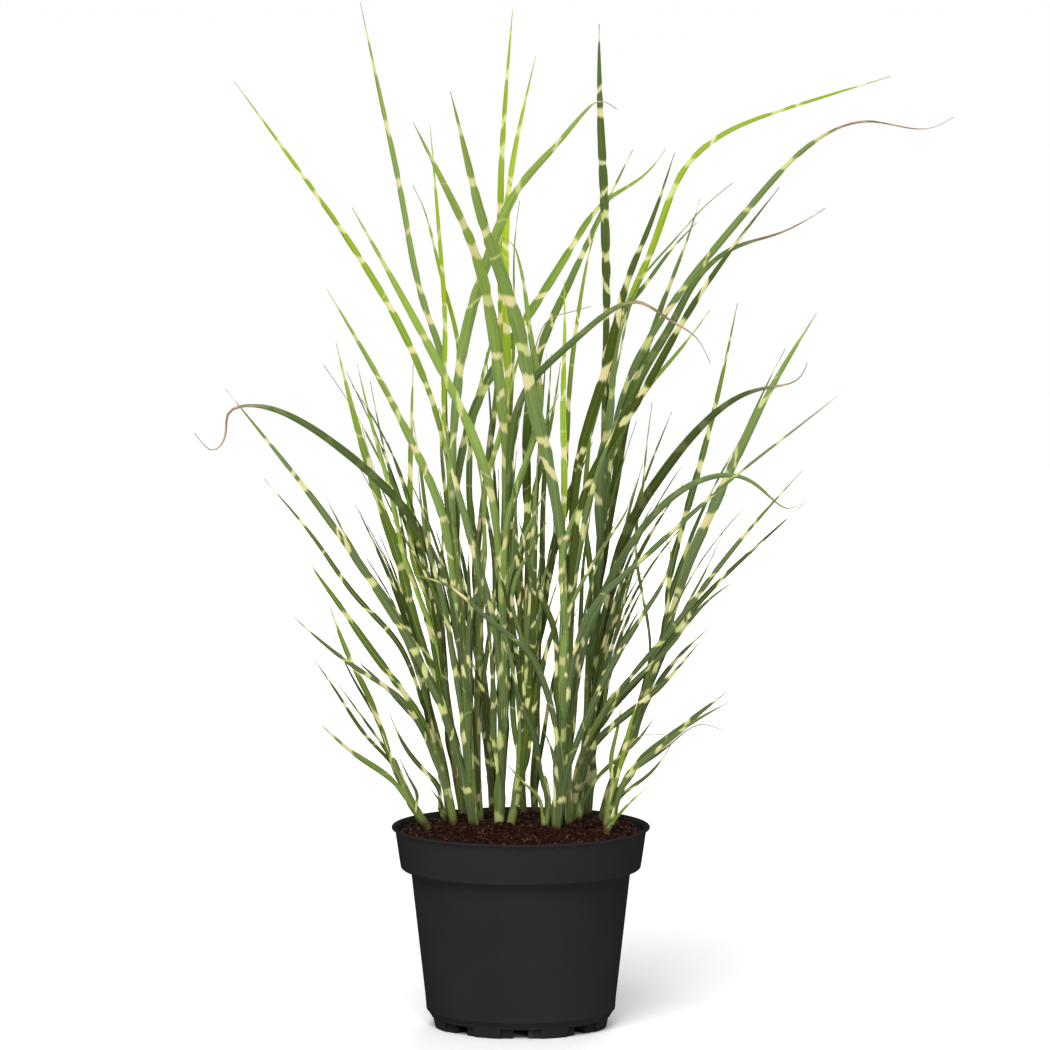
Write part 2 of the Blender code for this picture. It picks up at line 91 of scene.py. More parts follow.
def buildStudio():
    scene = bpy.context.scene
    lens = bpy.data.cameras.new("camera")
    lens.lens = studio["lens"]
    lens.sensor_width = 36.0
    lens.clip_start, lens.clip_end = 0.1, 300.0
    camera = linked("camera", lens)
    camera.location = (studio["cameraAside"], -studio["cameraDistance"], studio["cameraHeight"])
    camera.rotation_euler = (math.radians(90 - studio["cameraPitch"]), 0.0, 0.0)
    scene.camera = camera

    world = bpy.data.worlds.new("studio")
    world.use_nodes = True
    sky = world.node_tree.nodes["Background"]
    sky.inputs["Color"].default_value = (*studio["skyTone"], 1.0)
    sky.inputs["Strength"].default_value = studio["skyStrength"]
    scene.world = world
    scene.view_settings.view_transform = "Standard"

    sun = bpy.data.lights.new("sun", "SUN")
    sun.energy = studio["sunStrength"]
    sun.angle = math.radians(studio["sunSpread"])
    addLight(sun, studio["sunFrom"], (0, 0, 0))
    for name, place, size, power in studio["lamps"]:
        lamp = bpy.data.lights.new(name, "AREA")
        lamp.shape, lamp.size, lamp.energy = "SQUARE", size, power
        addLight(lamp, place, studio["lampsLookAt"])

    half = studio["floorSize"] / 2
    mesh = bpy.data.meshes.new("floor")
    corners = [(-half, -half, 0), (half, -half, 0), (half, half, 0), (-half, half, 0)]
    mesh.from_pydata(corners, [], [(0, 1, 2, 3)])
    floor = linked("floor", mesh)
    paint = bpy.data.materials.new("pale_floor")
    paint.use_nodes = True
    shader = paint.node_tree.nodes["Principled BSDF"]
    shader.inputs["Base Color"].default_value = (*studio["floorTone"], 1.0)
    shader.inputs["Roughness"].default_value = 0.9
    mesh.materials.append(paint)
    floor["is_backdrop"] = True


buildStudio()
print("studio ready")

# ---- node helpers, used by the materials and by the geometry trees


class Field:
    # an output socket that can be added, multiplied and so on, in the tree that it belongs to
    def __init__(self, socket):
        self.socket = socket

    def __add__(self, other):
        return calc("ADD", self, other)

    def __radd__(self, other):
        return calc("ADD", other, self)

    def __sub__(self, other):
        return calc("SUBTRACT", self, other)

    def __rsub__(self, other):
        return calc("SUBTRACT", other, self)

    def __mul__(self, other):
        return calc("MULTIPLY", self, other)

    def __rmul__(self, other):
        return calc("MULTIPLY", other, self)

    def __truediv__(self, other):
        return calc("DIVIDE", self, other)

    def __pow__(self, other):
        return calc("POWER", self, other)


def treeOf(*values):
    return next(value for value in values if isinstance(value, Field)).socket.id_data


def put(socket, value):
    if isinstance(value, Field):
        socket.id_data.links.new(value.socket, socket)
    elif value is not None:
        socket.default_value = value


def addNode(tree, kind, given, **settings):
    # a new node, with its settings made before its inputs are filled by name or by number
    node = tree.nodes.new(kind)
    for label, setting in settings.items():
        setattr(node, label, setting)
    for label, value in given.items():
        put(node.inputs[label], value)
    return node


def calc(operation, *values, clamp=False):
    settings = {"operation": operation, "use_clamp": clamp}
    return Field(addNode(treeOf(*values), "ShaderNodeMath", dict(enumerate(values)), **settings).outputs[0])


def vec(operation, *values, scale=None):
    given = dict(enumerate(values))
    if scale is not None:
        given["Scale"] = scale
    node = addNode(treeOf(*values), "ShaderNodeVectorMath", given, operation=operation)
    return Field(node.outputs["Value" if operation in ("DOT_PRODUCT", "LENGTH") else "Vector"])


def smooth(value, low, high, toLow=0.0, toHigh=1.0):
    given = {"Value": value, "From Min": low, "From Max": high, "To Min": toLow, "To Max": toHigh}
    node = addNode(treeOf(value), "ShaderNodeMapRange", given, interpolation_type="SMOOTHSTEP")
    return Field(node.outputs[0])


def noiseAt(place, scale, detail=2.0, dimensions="3D", roughness=0.5):
    entry = "W" if dimensions == "1D" else "Vector"
    given = {entry: place, "Scale": scale, "Detail": detail, "Roughness": roughness}
    return Field(addNode(treeOf(place), "ShaderNodeTexNoise", given, noise_dimensions=dimensions).outputs[0])


def joined(x=0.0, y=0.0, z=0.0):
    return Field(addNode(treeOf(x, y, z), "ShaderNodeCombineXYZ", {0: x, 1: y, 2: z}).outputs[0])


def pushed(place, direction, reach):
    return vec("ADD", place, vec("SCALE", direction, scale=reach))


def axesOf(place):
    return [Field(socket) for socket in addNode(treeOf(place), "ShaderNodeSeparateXYZ", {0: place}).outputs]


# ---- material helpers


def newMaterial(name, roughness, specular=0.5):
    material = bpy.data.materials.new(name)
    material.use_nodes = True
    tree = material.node_tree
    shader = tree.nodes["Principled BSDF"]
    shader.inputs["Roughness"].default_value = roughness
    shader.inputs["Specular IOR Level"].default_value = specular
    return material, tree, shader


def blend(factor, first, second, mode="MIX"):
    # inputs 6 and 7 and output 2 are the colour ones
    given = {0: factor, 6: (*first, 1.0) if isinstance(first, tuple) else first,
             7: (*second, 1.0) if isinstance(second, tuple) else second}
    node = addNode(treeOf(factor, first, second), "ShaderNodeMix", given, data_type="RGBA", blend_type=mode)
    return Field(node.outputs[2])


def shaded(colour, shade):
    return blend(1.0, colour, joined(shade, shade, shade), "MULTIPLY")


def readAttributes(tree, *names):
    nodes = [addNode(tree, "ShaderNodeAttribute", {}, attribute_name=name) for name in names]
    return [Field(node.outputs["Fac"]) for node in nodes]


def readPlace(tree):
    return Field(tree.nodes.new("ShaderNodeTexCoord").outputs["Object"])


def addBump(shader, height, strength, distance):
    given = {"Height": height, "Strength": strength, "Distance": distance}
    node = addNode(treeOf(height), "ShaderNodeBump", given)
    put(shader.inputs["Normal"], Field(node.outputs["Normal"]))


# ---- routes: the same lists as the construction, in centimetres, x right, y back, z up

stemRoutes = {
    "left_outer": (8.5, 5, 0.35, [(-6.8, -0.7, 14.5), (-8.1, -0.4, 16.8), (-9.4, 0.2, 19.8)]),
    "left_stub": (5.5, 3.5, 0.5, [(-5.5, 1.6, 14.6), (-6, 1.9, 16.6)]),
    "left_low": (8, 6, 0.3, [(-4.9, 0, 14.6), (-5.3, 0.3, 17), (-6, 0.8, 19.4), (-6.9, 1.4, 22.2)]),
    "left_back": (7.5, 6, 0.2, [(-5.3, 3.4, 14.6), (-5.5, 3.9, 17.6), (-6.1, 4.3, 20.4), (-6.9, 4.8, 23.4),
        (-7.6, 5.3, 26)]),
    "left_inner": (8.5, 6, 0.45, [(-4.2, 4, 14.6), (-4.8, 4.4, 18.5), (-5.3, 4.5, 22.5), (-5.8, 4.5, 26.5),
        (-6, 4.5, 31)]),
    "left_tall": (9.5, 5.5, 0.5, [(-3.4, -1.3, 14.7), (-3.7, -1.3, 18.5), (-3.9, -1.2, 23.5),
        (-4.2, -1, 28.5), (-4.6, -0.8, 33.5), (-5, -0.6, 38.5), (-5.3, -0.4, 44)]),
    "middle_left": (8, 5.5, 0.3, [(-3, 0.3, 14.8), (-3.2, 0.4, 18.5), (-3.2, 0.4, 22.5), (-3.1, 0.4, 27),
        (-2.9, 0.4, 31.5), (-2.8, 0.4, 35.2)]),
    "middle_tall": (9, 7, 0.25, [(-1.6, -1.4, 14.8), (-1.4, -1.4, 19.5), (-1.25, -1.3, 25),
        (-1.3, -1.2, 31), (-1.2, -1.1, 36), (-1.05, -1, 41.5)]),
    "middle_fan": (8, 5, 0.35, [(-0.8, -2.4, 14.8), (-0.3, -2.5, 17.5), (0.2, -2.5, 21), (0.4, -2.4, 25),
        (0.4, -2.3, 29), (0.5, -2.2, 33)]),
    "middle_bright": (9, 6, 0.85, [(2.6, -3, 14.7), (2.9, -3, 20.5), (3.05, -3.1, 28.5), (3.15, -3.2, 33),
        (3, -3.3, 36.7)]),
    "middle_short": (7, 4.5, 0.45, [(1.7, -2.6, 14.7), (2, -2.2, 16.8), (1.7, -2, 18.8)]),
    "middle_thin": (7, 3.5, 0.4, [(3.5, -1.2, 14.7), (3.5, -1.2, 19), (3.6, -1.1, 24), (3.7, -1, 29),
        (4, -0.9, 34)]),
    "right_tall": (9, 5, 0.4, [(4.9, 4, 14.6), (5.1, 3.9, 19), (5.5, 3.7, 25), (5.6, 3.5, 31),
        (5.9, 3.4, 36.9), (6.1, 3.3, 42.7), (6.15, 3.2, 48.7)]),
    "right_inner": (7.5, 5.5, 0.5, [(4.2, 1.5, 14.7), (4.4, 1.6, 18), (4.75, 1.8, 21), (4.9, 2, 24.5),
        (5, 2, 28)]),
    "right_lean": (8.5, 6.5, 0.2, [(5.9, 2.6, 14.5), (6.6, 2.4, 17.2), (7.7, 2.2, 20.3), (8.8, 2, 23.5),
        (10.2, 1.8, 28.2)]),
    "right_outer": (8.5, 5, 1, [(6.3, -2.8, 14.5), (6.45, -2.9, 16.8), (6.8, -3, 18.8)]),
    "back_dark": (7, 4.5, 0.05, [(0.2, 4.6, 14.6), (0.1, 4.8, 18), (0.4, 5, 22), (0.5, 5.2, 26),
        (0.2, 5.4, 30)]),
    "back_right": (7, 4.5, 0.3, [(1.1, 6, 14.4), (0.95, 6.2, 17.5), (1.2, 6.4, 21), (1, 6.6, 25),
        (1.4, 6.8, 29.5)]),
    "back_tall": (7.5, 5, 0.1, [(-2.1, 6.2, 14.4), (-2.2, 6.3, 18.5), (-2.5, 6.4, 22.5), (-3, 6.5, 27),
        (-3.3, 6.6, 32), (-2.8, 6.7, 38), (-2.1, 6.8, 44)]),
    "right_slant": (8, 6, 0.3, [(3.7, 0.1, 14.7), (3.9, 0.1, 17), (4.5, -0.1, 19.9), (5.5, -0.3, 22.2),
        (7, -0.5, 24.8)]),
}

# each blade: its stem, the height on it ("top" goes on from the end), compass side, width, tone (-1 olive,
# 1 bright), the share of its length where it has dried, and its route
bladeRoutes = {
    "left_sweep": ("left_tall", 42.5, 170, 6.5, 0.35, 1, [(-8.1, 1.2, 50), (-11.7, 3.4, 56.1),
        (-15.4, 5.6, 61.3), (-21.1, 8, 69)]),
    "top_highest": ("left_tall", "top", 0, 6.5, 0.1, 1, [(-5.8, -0.5, 49.4), (-6.9, -1.2, 52.8),
        (-8.9, -2, 62.3), (-9.8, -2.5, 66.7), (-11.6, -3, 75.4)]),
    "left_front": ("middle_tall", 34, 215, 8.5, 0.45, 0.96, [(-2.5, -2.8, 41), (-5, -4.2, 47.3),
        (-8.9, -6.6, 55), (-12.1, -9, 61)]),
    "top_front": ("middle_tall", "top", 0, 10.5, 0.4, 1, [(-1.35, -2.4, 44.8), (-1.8, -4, 49.4),
        (-3.1, -6.4, 56.8), (-5.3, -9, 62.2), (-7.7, -11, 67.3)]),
    "middle_widest": ("middle_bright", "top", 0, 12.5, 0.3, 1, [(2.3, -4.2, 40.7), (0.9, -6, 46.7),
        (-0.1, -8, 52), (-2.5, -11, 59.6), (-4.4, -13.6, 67.3), (-5, -14.6, 69.7)]),
    "top_back": ("back_tall", "top", 0, 6.5, 0.3, 1, [(-1.5, 7.4, 50), (-1.5, 8.8, 59), (-1.2, 10.4, 66.8),
        (-0.6, 12, 74.2)]),
    "top_curl": ("left_tall", 41, 300, 9.5, 0.25, 0.92, [(-3.5, -2.2, 53.3), (-2.5, -3.2, 56.5),
        (-0.1, -5, 62.2), (2.8, -6.6, 65.6), (4.7, -7.6, 67.9), (5.7, -8, 68.6), (6.9, -8.2, 68)]),
    "top_bright": ("middle_tall", 39.5, 60, 7.5, 0.6, 1, [(-0.9, 1.2, 47.5), (-1.1, 4.4, 52.5),
        (-1.1, 7.4, 58.5), (-0.3, 10.4, 64.6), (1.1, 13, 70.6)]),
    "right_upright": ("right_tall", "top", 0, 9, -0.95, 1, [(6.2, 3, 51.2), (6.15, 2.4, 56.2), (6, 1.6, 62),
        (5.75, 0.8, 68), (5.7, 0, 73.7)]),
    "back_diagonal": ("left_tall", 37.5, 60, 8.5, -0.2, 0.93, [(-3.9, 1.4, 44), (-2.2, 3.6, 47.7),
        (0.3, 6, 51.5), (3.9, 9.2, 56.9), (6.3, 11.6, 59.9), (9.4, 13.6, 61.9), (10.8, 14.4, 63.6)]),
    "back_olive": ("middle_fan", "top", 0, 9, -0.8, 1, [(0.5, 0, 39.8), (1.4, 3.4, 49.3), (3.6, 6.4, 54.2),
        (5.1, 8.2, 57.4), (8.3, 11, 63.8)]),
    "front_arch": ("middle_tall", 36.5, 300, 6.5, -0.45, 0.68, [(0.6, -3.6, 47.6), (2.8, -5.2, 50.1),
        (5, -6.8, 52.2), (8.6, -8.8, 54.1), (10.8, -10, 52.9), (12.5, -11, 51.9), (13.6, -11.6, 50)]),
    "right_dark": ("middle_bright", 33, 20, 9, -1.35, 1, [(4.4, -2.6, 43), (6, -3.2, 48.2), (7.8, -4, 55.4),
        (9.1, -4.6, 58.7), (11.1, -5.6, 64.7)]),
    "right_sweep": ("right_tall", 46, 20, 7, 0.5, 0.96, [(7.5, 4, 51.6), (9.9, 5, 57.4), (12.4, 6, 63.1),
        (15, 6.8, 65.2), (19, 7.8, 66.8), (27.3, 9.6, 69.3)]),
    "right_longest": ("right_tall", 41, 330, 6.5, -0.1, 0.72, [(8.1, 1.2, 48.2), (12.3, -0.8, 55.1),
        (16.8, -2.8, 60.8), (21.1, -4.2, 65.3), (25.2, -5.2, 66.9), (29.6, -5.9, 66.5),
        (31.2, -6.1, 67.3)]),
    "right_front": ("middle_bright", 31, 335, 7.5, -1.25, 1, [(3.9, -4.4, 36.8), (5, -5, 41),
        (7.8, -6.6, 45.8), (11.7, -8.6, 52.8), (14.7, -9.8, 57.5), (18.5, -11, 62.6)]),
    "right_bowed": ("right_tall", 33, 30, 8.5, -0.55, 0.78, [(7, 4.6, 39.8), (8.7, 5.8, 47),
        (11.1, 7.6, 50.9), (12.8, 8.8, 53.9), (15.9, 10.6, 56.5), (19.1, 12, 57.4), (22.7, 13, 59.3)]),
    "middle_cross": ("middle_tall", 26.5, 225, 7.5, 0.2, 0.95, [(-2.2, -2.2, 31.1), (-3, -2.6, 33.9),
        (-3.8, -2.9, 37), (-4.7, -3.2, 40.4), (-5.9, -3.6, 46)]),
    "low_cross": ("middle_bright", 20.5, 240, 6, 0.1, 0.9, [(1.7, -4.2, 25.8), (0.6, -4.8, 28.1),
        (-2.2, -5.6, 30.6), (-5.5, -6.2, 33.4), (-8.2, -6.6, 34.2)]),
    "right_curl": ("middle_bright", 17, 300, 6, 0.1, 0.9, [(4.2, -4.4, 21.9), (6, -5.2, 26.1),
        (9.2, -6.8, 31.8), (10.65, -7.8, 34.6), (10.8, -8.2, 36.2), (9.7, -8.6, 37.8)]),
    "right_spear": ("right_lean", "top", 0, 6.5, 0.1, 0.97, [(10.9, 2.6, 32.3), (12, 3.6, 36.9),
        (14.3, 5.6, 45.2), (16, 7.4, 52.7)]),
    "right_broad": ("right_lean", 25.5, 330, 10, 0, 0.96, [(12, 1, 33), (14, 0.2, 38), (18.6, -1.4, 47.8),
        (21.5, -2.4, 52.8)]),
    "right_drooping": ("right_tall", 25.5, 350, 9, -0.65, 0.84, [(7.6, 1.8, 35.9), (10.2, 0, 40.6),
        (12.7, -2, 44), (15, -3.8, 46.3), (17.7, -5.4, 47.6), (20.2, -6.4, 48.5), (20.7, -6.7, 49.6)]),
    "right_straight": ("middle_bright", 24, 345, 6, 0.2, 0.97, [(5.4, -4.4, 31.6), (8, -5.6, 34.4),
        (11.6, -7.2, 37.9), (15.7, -8.8, 41.7), (19.6, -10.2, 45), (22.7, -11.2, 47.6)]),
    "right_arch": ("right_inner", "top", 0, 7.5, -0.1, 0.84, [(5.9, 1.6, 31), (7.6, 1, 34.6), (10, 0, 38),
        (12.7, -1.2, 40.2), (16, -2.4, 40.8), (17.6, -3, 39.9), (19.6, -3.6, 38.6), (20.7, -4, 39.4)]),
    "right_low_front": ("right_slant", "top", 0, 5.5, 0.15, 1, [(10.6, -1.6, 29), (14.8, -3.4, 34.8),
        (20.4, -5.4, 41.6)]),
    "right_low_dark": ("right_slant", 18.5, 330, 6.5, -0.1, 1, [(6.1, -2.2, 21.9), (8.7, -3, 24.2),
        (10.9, -3.8, 26.4), (13, -4.6, 29)]),
    "right_bottom": ("right_outer", 16.5, 340, 7.5, 0.2, 0.93, [(9, -4, 20.4), (11, -4.6, 22.1),
        (13.1, -5.2, 23.9), (15, -5.8, 25.5)]),
    "left_curl": ("left_inner", "top", 0, 7.5, -0.4, 0.72, [(-6.7, 3.2, 34.6), (-8.8, 0.8, 38.5),
        (-10.9, -1.4, 40.9), (-14, -4.4, 43.8), (-17.1, -6.6, 45.9), (-19.3, -7.6, 46.5), (-21.1, -8.2, 46),
        (-21.3, -8.4, 44.4), (-22, -8.6, 43.4), (-23.5, -8.8, 44.7)]),
    "left_long": ("left_tall", 17, 210, 8, 0.15, 1, [(-5.5, -2.6, 23.2), (-8.1, -3.4, 28.9),
        (-11.3, -4.4, 34.1), (-15.8, -5.6, 40.6), (-21.3, -7, 47.7)]),
    "left_back": ("left_back", "top", 0, 6, 0.15, 1, [(-8.2, 5.9, 27.6), (-11.1, 7.8, 32.1),
        (-14.5, 9.8, 38)]),
    "left_fine": ("left_back", 23, 170, 5, 0.1, 1, [(-8.9, 6.2, 27.2), (-12, 8.2, 30.5),
        (-15.2, 10.2, 34.6), (-19.2, 12.4, 39.1)]),
    "left_lower": ("left_low", "top", 0, 7, 0.3, 1, [(-8.4, 1.9, 24.1), (-10.5, 2.4, 26.8),
        (-13.2, 3.2, 30.5), (-15.9, 4, 34.2)]),
    "left_bunch": ("left_inner", 24, 160, 9, 0.2, 0.97, [(-7.4, 4.8, 28), (-8.8, 5.6, 33), (-10, 6.4, 36.7),
        (-11.4, 7.4, 41), (-12.6, 8.2, 45.2), (-13.7, 9, 49.6)]),
    "left_bright": ("left_tall", 31.5, 200, 7.5, 0.5, 1, [(-5.9, -1.9, 38.5), (-7.2, -2.5, 41.8),
        (-9.4, -3.6, 46.4), (-14, -6.2, 54.9)]),
    "left_flat": ("left_low", 20, 215, 5.5, 0.2, 1, [(-8.8, -0.5, 24.2), (-11.8, -1.6, 26.5),
        (-13.8, -2.5, 28.1), (-16.8, -4, 31)]),
    "left_base": ("left_outer", "top", 0, 7, 0.35, 1, [(-10.9, 1, 23.4), (-12.6, 2.4, 26.8),
        (-14.1, 4, 30.6)]),
    "left_lowest": ("left_outer", 17.4, 200, 5.5, 0.65, 1, [(-11.8, -1.8, 20.1), (-14.6, -3, 22.7)]),
}

# old blades whose bands have faded
plainBlades = ("left_curl", "right_drooping", "right_arch", "right_bowed", "front_arch")

# blades too small for solids of their own: stem, height, width, tone, dry from, depth of the tip, then how
# the route looks from the front, as x and z in the plane of the pot's axis
smallBlades = [
    ("left_tall", 42, 4.5, 0.75, 0.97, -1.5, [(-5.55, 52), (-5.9, 57.8), (-6.2, 61.5), (-6.6, 66.3)]),
    ("left_tall", 40, 4.5, 0.7, 0.86, 3, [(-4.5, 49.4), (-5.6, 54.5), (-6.4, 57.8), (-7.05, 60.2),
        (-7.85, 61.9)]),
    ("middle_tall", 41, 3, 0.4, 0.95, 2.5, [(-0.5, 53.4), (-0.5, 57.1), (-0.1, 60.8)]),
    ("middle_tall", 37.5, 6, 0.2, 0.88, -3.5, [(1.4, 47.2), (0.9, 49.8), (0.3, 54.2), (-0.2, 56.7),
        (-0.65, 57.7), (-1.4, 58.1)]),
    ("middle_left", "top", 5.5, 0.7, 1, -4, [(-2.6, 40), (-1.7, 43.1), (-0.9, 46.5), (0.35, 51.2)]),
    ("middle_bright", 36, 5, 0.15, 0.97, 1.5, [(3.1, 38.7), (3.3, 42.4), (3.5, 46.8), (4.15, 52.3),
        (5.05, 57.3), (5.75, 59.7)]),
    ("middle_bright", 34, 6, 0.6, 0.95, -3, [(3.2, 39.5), (3.1, 46.1), (3.2, 51.2), (3.15, 55)]),
    ("middle_tall", 41, 1.8, -0.2, 0.3, -5, [(1, 49.8), (2, 52.1), (3.3, 52.6), (5.1, 53.1)]),
    ("right_tall", 45, 2.2, 0.2, 0.9, 1, [(7.3, 50), (8.7, 54.9), (10.9, 57.6), (13.4, 60.4),
        (15.4, 62.1)]),
    ("right_tall", 47, 4.5, -0.7, 1, 6, [(7.1, 52.1), (8.7, 54.2), (10.7, 56.9), (12.8, 59.2)]),
    ("right_tall", 38, 6.5, -0.6, 1, -1.5, [(7.2, 45), (8.55, 48.1), (9.8, 51.6), (11, 54.9), (12.1, 57.8),
        (13.1, 61)]),
    ("right_tall", 39, 4.5, 0.1, 1, 7, [(8.3, 45.7), (9.4, 47.3), (11.6, 49.9), (13.8, 52.8)]),
    ("right_tall", 34, 9, 0, 1, -2.5, [(5.8, 40.9), (6.5, 44.6), (6.9, 49), (7.75, 52.7)]),
    ("right_lean", 26, 3, 0.2, 1, 5, [(8.4, 36), (8.8, 39), (9.15, 42.4), (9.6, 46.1)]),
    ("middle_tall", 30, 7, 0.5, 0.93, -5, [(-1, 36.5), (0.1, 40.9), (1.4, 43.9), (2.8, 46.6)]),
    ("middle_tall", 26, 6, 0.2, 0.95, -5.5, [(-0.95, 32.1), (0.45, 36.5), (1.75, 39.5)]),
    ("middle_fan", 27, 4.5, 0.3, 1, -4.5, [(-0.65, 31.4), (0.8, 35.4), (2.1, 37.6)]),
    ("middle_bright", 29, 7, 0.45, 1, -5.5, [(3.1, 34.7), (3.7, 36.9), (4.9, 39.5), (6.35, 43.1)]),
    ("left_tall", 26.5, 6, 0, 0.94, -3, [(-3.5, 31), (-3, 33), (-2.6, 35.4)]),
    ("left_inner", 26, 4.5, 0.2, 0.9, 3, [(-6, 30), (-5.8, 34.3), (-5.7, 36.5), (-5.6, 38.6)]),
    ("middle_thin", "top", 4, 0.2, 0.92, -1.5, [(4.1, 36), (4.2, 39.6)]),
    ("middle_fan", 24, 4.5, 0.2, 0.88, -4.5, [(1, 28), (1.5, 31), (1.7, 33), (2.25, 35.2)]),
    ("middle_bright", 25, 5.5, -0.4, 0.92, -5.5, [(2.4, 29.5), (1.6, 31.5), (1, 33), (0.6, 34), (0.2, 36),
        (-0.3, 37.8)]),
    ("middle_short", "top", 6, -0.1, 1, -4, [(1.2, 20.8), (0.3, 23.2), (-0.65, 26)]),
    ("middle_bright", 16.8, 4.5, 0.2, 1, -4.5, [(2.6, 18.9), (1.6, 22)]),
    ("middle_short", 15.6, 4, 0.7, 1, -4.2, [(1.45, 16.4), (0.3, 17.9), (-0.95, 19.3)]),
    ("middle_bright", 26.5, 4, 0.3, 0.9, -6.5, [(3.4, 29.9), (4.7, 33.1), (6.3, 35.8), (7.75, 38.1),
        (8.4, 40.2)]),
    ("right_lean", 26.5, 4, -0.5, 1, 6, [(12, 33), (14, 38), (16.4, 43.9), (17.7, 46.8), (19.3, 50)]),
    ("right_slant", 22.5, 5, -0.3, 1, 2.5, [(9.6, 26.8), (12.3, 30.4), (17.3, 35.5), (20.8, 38.7)]),
    ("right_slant", 24, 4.5, 0.1, 1, -3, [(10.9, 28.1), (13.45, 31.2), (15.8, 33)]),
    ("right_lean", 24, 3, 0.2, 1, 4.5, [(12.1, 31), (13.3, 33.2), (14.8, 36.5)]),
    ("right_inner", 16.2, 4.5, 0.4, 0.95, -0.5, [(5.1, 17.5), (5.8, 18.5), (8.55, 21.1), (9.7, 22.7)]),
    ("right_outer", 15.8, 6, 0.3, 0.9, -7, [(7.4, 17.6), (10.2, 20.5), (12.35, 22.2), (15.35, 24)]),
    ("right_outer", 17.5, 3, 0.2, 0.45, -4.5, [(8, 18.6), (11, 20.8), (13.3, 22.3), (14.7, 21.9)]),
    ("right_outer", 18.2, 1.6, -0.2, 0.2, -3.5, [(8.7, 21.4), (10.75, 21.5)]),
    ("right_outer", 15.6, 4, 0.2, 1, -1, [(7, 16.4), (9.1, 18.3), (11.1, 20.9)]),
    ("right_outer", 15.2, 3, 0.8, 1, -5.5, [(7.4, 15.8), (9.2, 17.6)]),
    ("right_outer", "top", 4, 0.8, 1, -3.5, [(7.6, 20.5), (8.1, 22.5), (8.6, 24)]),
    ("right_outer", 17, 4, 0.5, 1, -2, [(6.6, 19.5), (7, 21.5), (7.45, 24.1)]),
    ("left_inner", 29.5, 2.2, 0, 0.75, 8, [(-8.4, 38), (-10.4, 42), (-12, 45.1), (-14.4, 48.8)]),
    ("left_inner", 27.5, 5, 0.75, 1, 2, [(-8.3, 34), (-9.4, 39), (-10.6, 43.4), (-11.3, 46.1),
        (-11.95, 48.9)]),
    ("left_inner", 28.5, 3, -0.4, 1, 8, [(-7.8, 35), (-9.2, 39.5), (-10.2, 43.5), (-11, 47.6)]),
    ("left_inner", 29, 1.8, 0.1, 0.7, 6, [(-8.2, 35.5), (-10.45, 40.4), (-11.6, 44.2)]),
    ("left_inner", 29.2, 6, 0.65, 0.96, 6.5, [(-7.6, 33.6), (-8.1, 39.5), (-7.95, 45.3), (-7.85, 48.9)]),
    ("left_low", 21, 4, 0.1, 1, -1, [(-8.7, 23.7), (-9.9, 25), (-12.3, 27.3)]),
    ("left_outer", 19, 3, 0, 1, 3, [(-10.6, 22.6), (-12.1, 25.3), (-13.7, 28.7)]),
    ("left_outer", 16.2, 4.5, -0.4, 1, 4, [(-8.8, 18.2), (-11.2, 21.2), (-13.1, 24), (-15.2, 27.2)]),
    ("left_outer", 17.6, 3, 0.1, 1, 5, [(-9.4, 19.4), (-11, 22), (-13.4, 25.3)]),
    ("left_outer", 15.6, 3, 0.3, 1, -3, [(-7.6, 16.8), (-8, 17.9), (-8.9, 19.8)]),
    ("left_stub", 15.6, 5, 0.2, 1, 5, [(-5.9, 17.2), (-6.9, 18.7), (-8.5, 20.7), (-9.6, 23)]),
    ("left_stub", 15.4, 2.5, 0.5, 1, -1, [(-5.8, 16.2), (-6.6, 17.5)]),
    ("back_tall", 18, 5, -0.5, 1, 4, [(-2, 19.8), (-2.5, 22), (-2.8, 24), (-3.1, 26), (-3.4, 28)]),
    ("back_tall", 33, 6, 0.1, 1, 9, [(-3.6, 37), (-3.7, 42), (-3, 47), (-1.6, 52.5)]),
    ("back_tall", 26, 5.5, -0.1, 1, 8, [(-3.9, 30), (-4.9, 35), (-5.6, 40), (-6, 45.5)]),
    ("back_dark", "top", 5.5, -0.2, 1, 7, [(0, 33), (0.9, 39), (2.3, 45), (2.9, 49)]),
    ("back_dark", 24, 5, 0, 1, 6.5, [(1, 28), (1.9, 32), (2.5, 37), (2.2, 42)]),
    ("back_right", "top", 5.5, 0.1, 1, 9, [(1.9, 33), (3.1, 38), (4.9, 43), (6.6, 49)]),
    ("back_right", 23, 5, 0.15, 1, 8, [(0.6, 27), (-0.3, 32), (-0.7, 37), (-0.3, 42.5)]),
    ("right_inner", 24, 5, -0.1, 1, 4, [(5.6, 28), (6.4, 32), (7.5, 36.5), (8.9, 41.5)]),
    ("right_tall", 29, 5.5, 0.1, 1, 6, [(5.2, 33), (4.7, 37.5), (4.9, 42), (5.4, 47)]),
    ("left_tall", 22, 5.5, -0.1, 1, -3.5, [(-4.9, 26.5), (-5.6, 31), (-6.9, 36), (-7.5, 41)]),
    ("left_back", 22, 5, 0.1, 1, 6.5, [(-7.3, 26), (-8, 30), (-8.4, 35), (-9.3, 40)]),
    ("middle_left", 25, 5, 0, 1, 2, [(-2.3, 29), (-1.9, 33), (-2.5, 38), (-3.4, 43)]),
    ("middle_fan", 21, 4.5, 0.2, 1, -3.5, [(-0.3, 24.5), (-1, 28), (-2.4, 33)]),
    ("middle_thin", 22, 4.5, 0, 1, -0.5, [(4.1, 26), (4.4, 30), (4.6, 34), (5.3, 39)]),
]

# ---- the routes as smooth lines

# the soil's mound: height at its rim and its crown, and how far a stem stands above and goes under it
ground = {"rim": 0.1432, "crown": 0.1478, "reach": 0.09, "gap": 0.0009, "sink": 0.007}
eye = {"height": 105.0, "distance": 600.0}  # where the front view is seen from, in centimetres


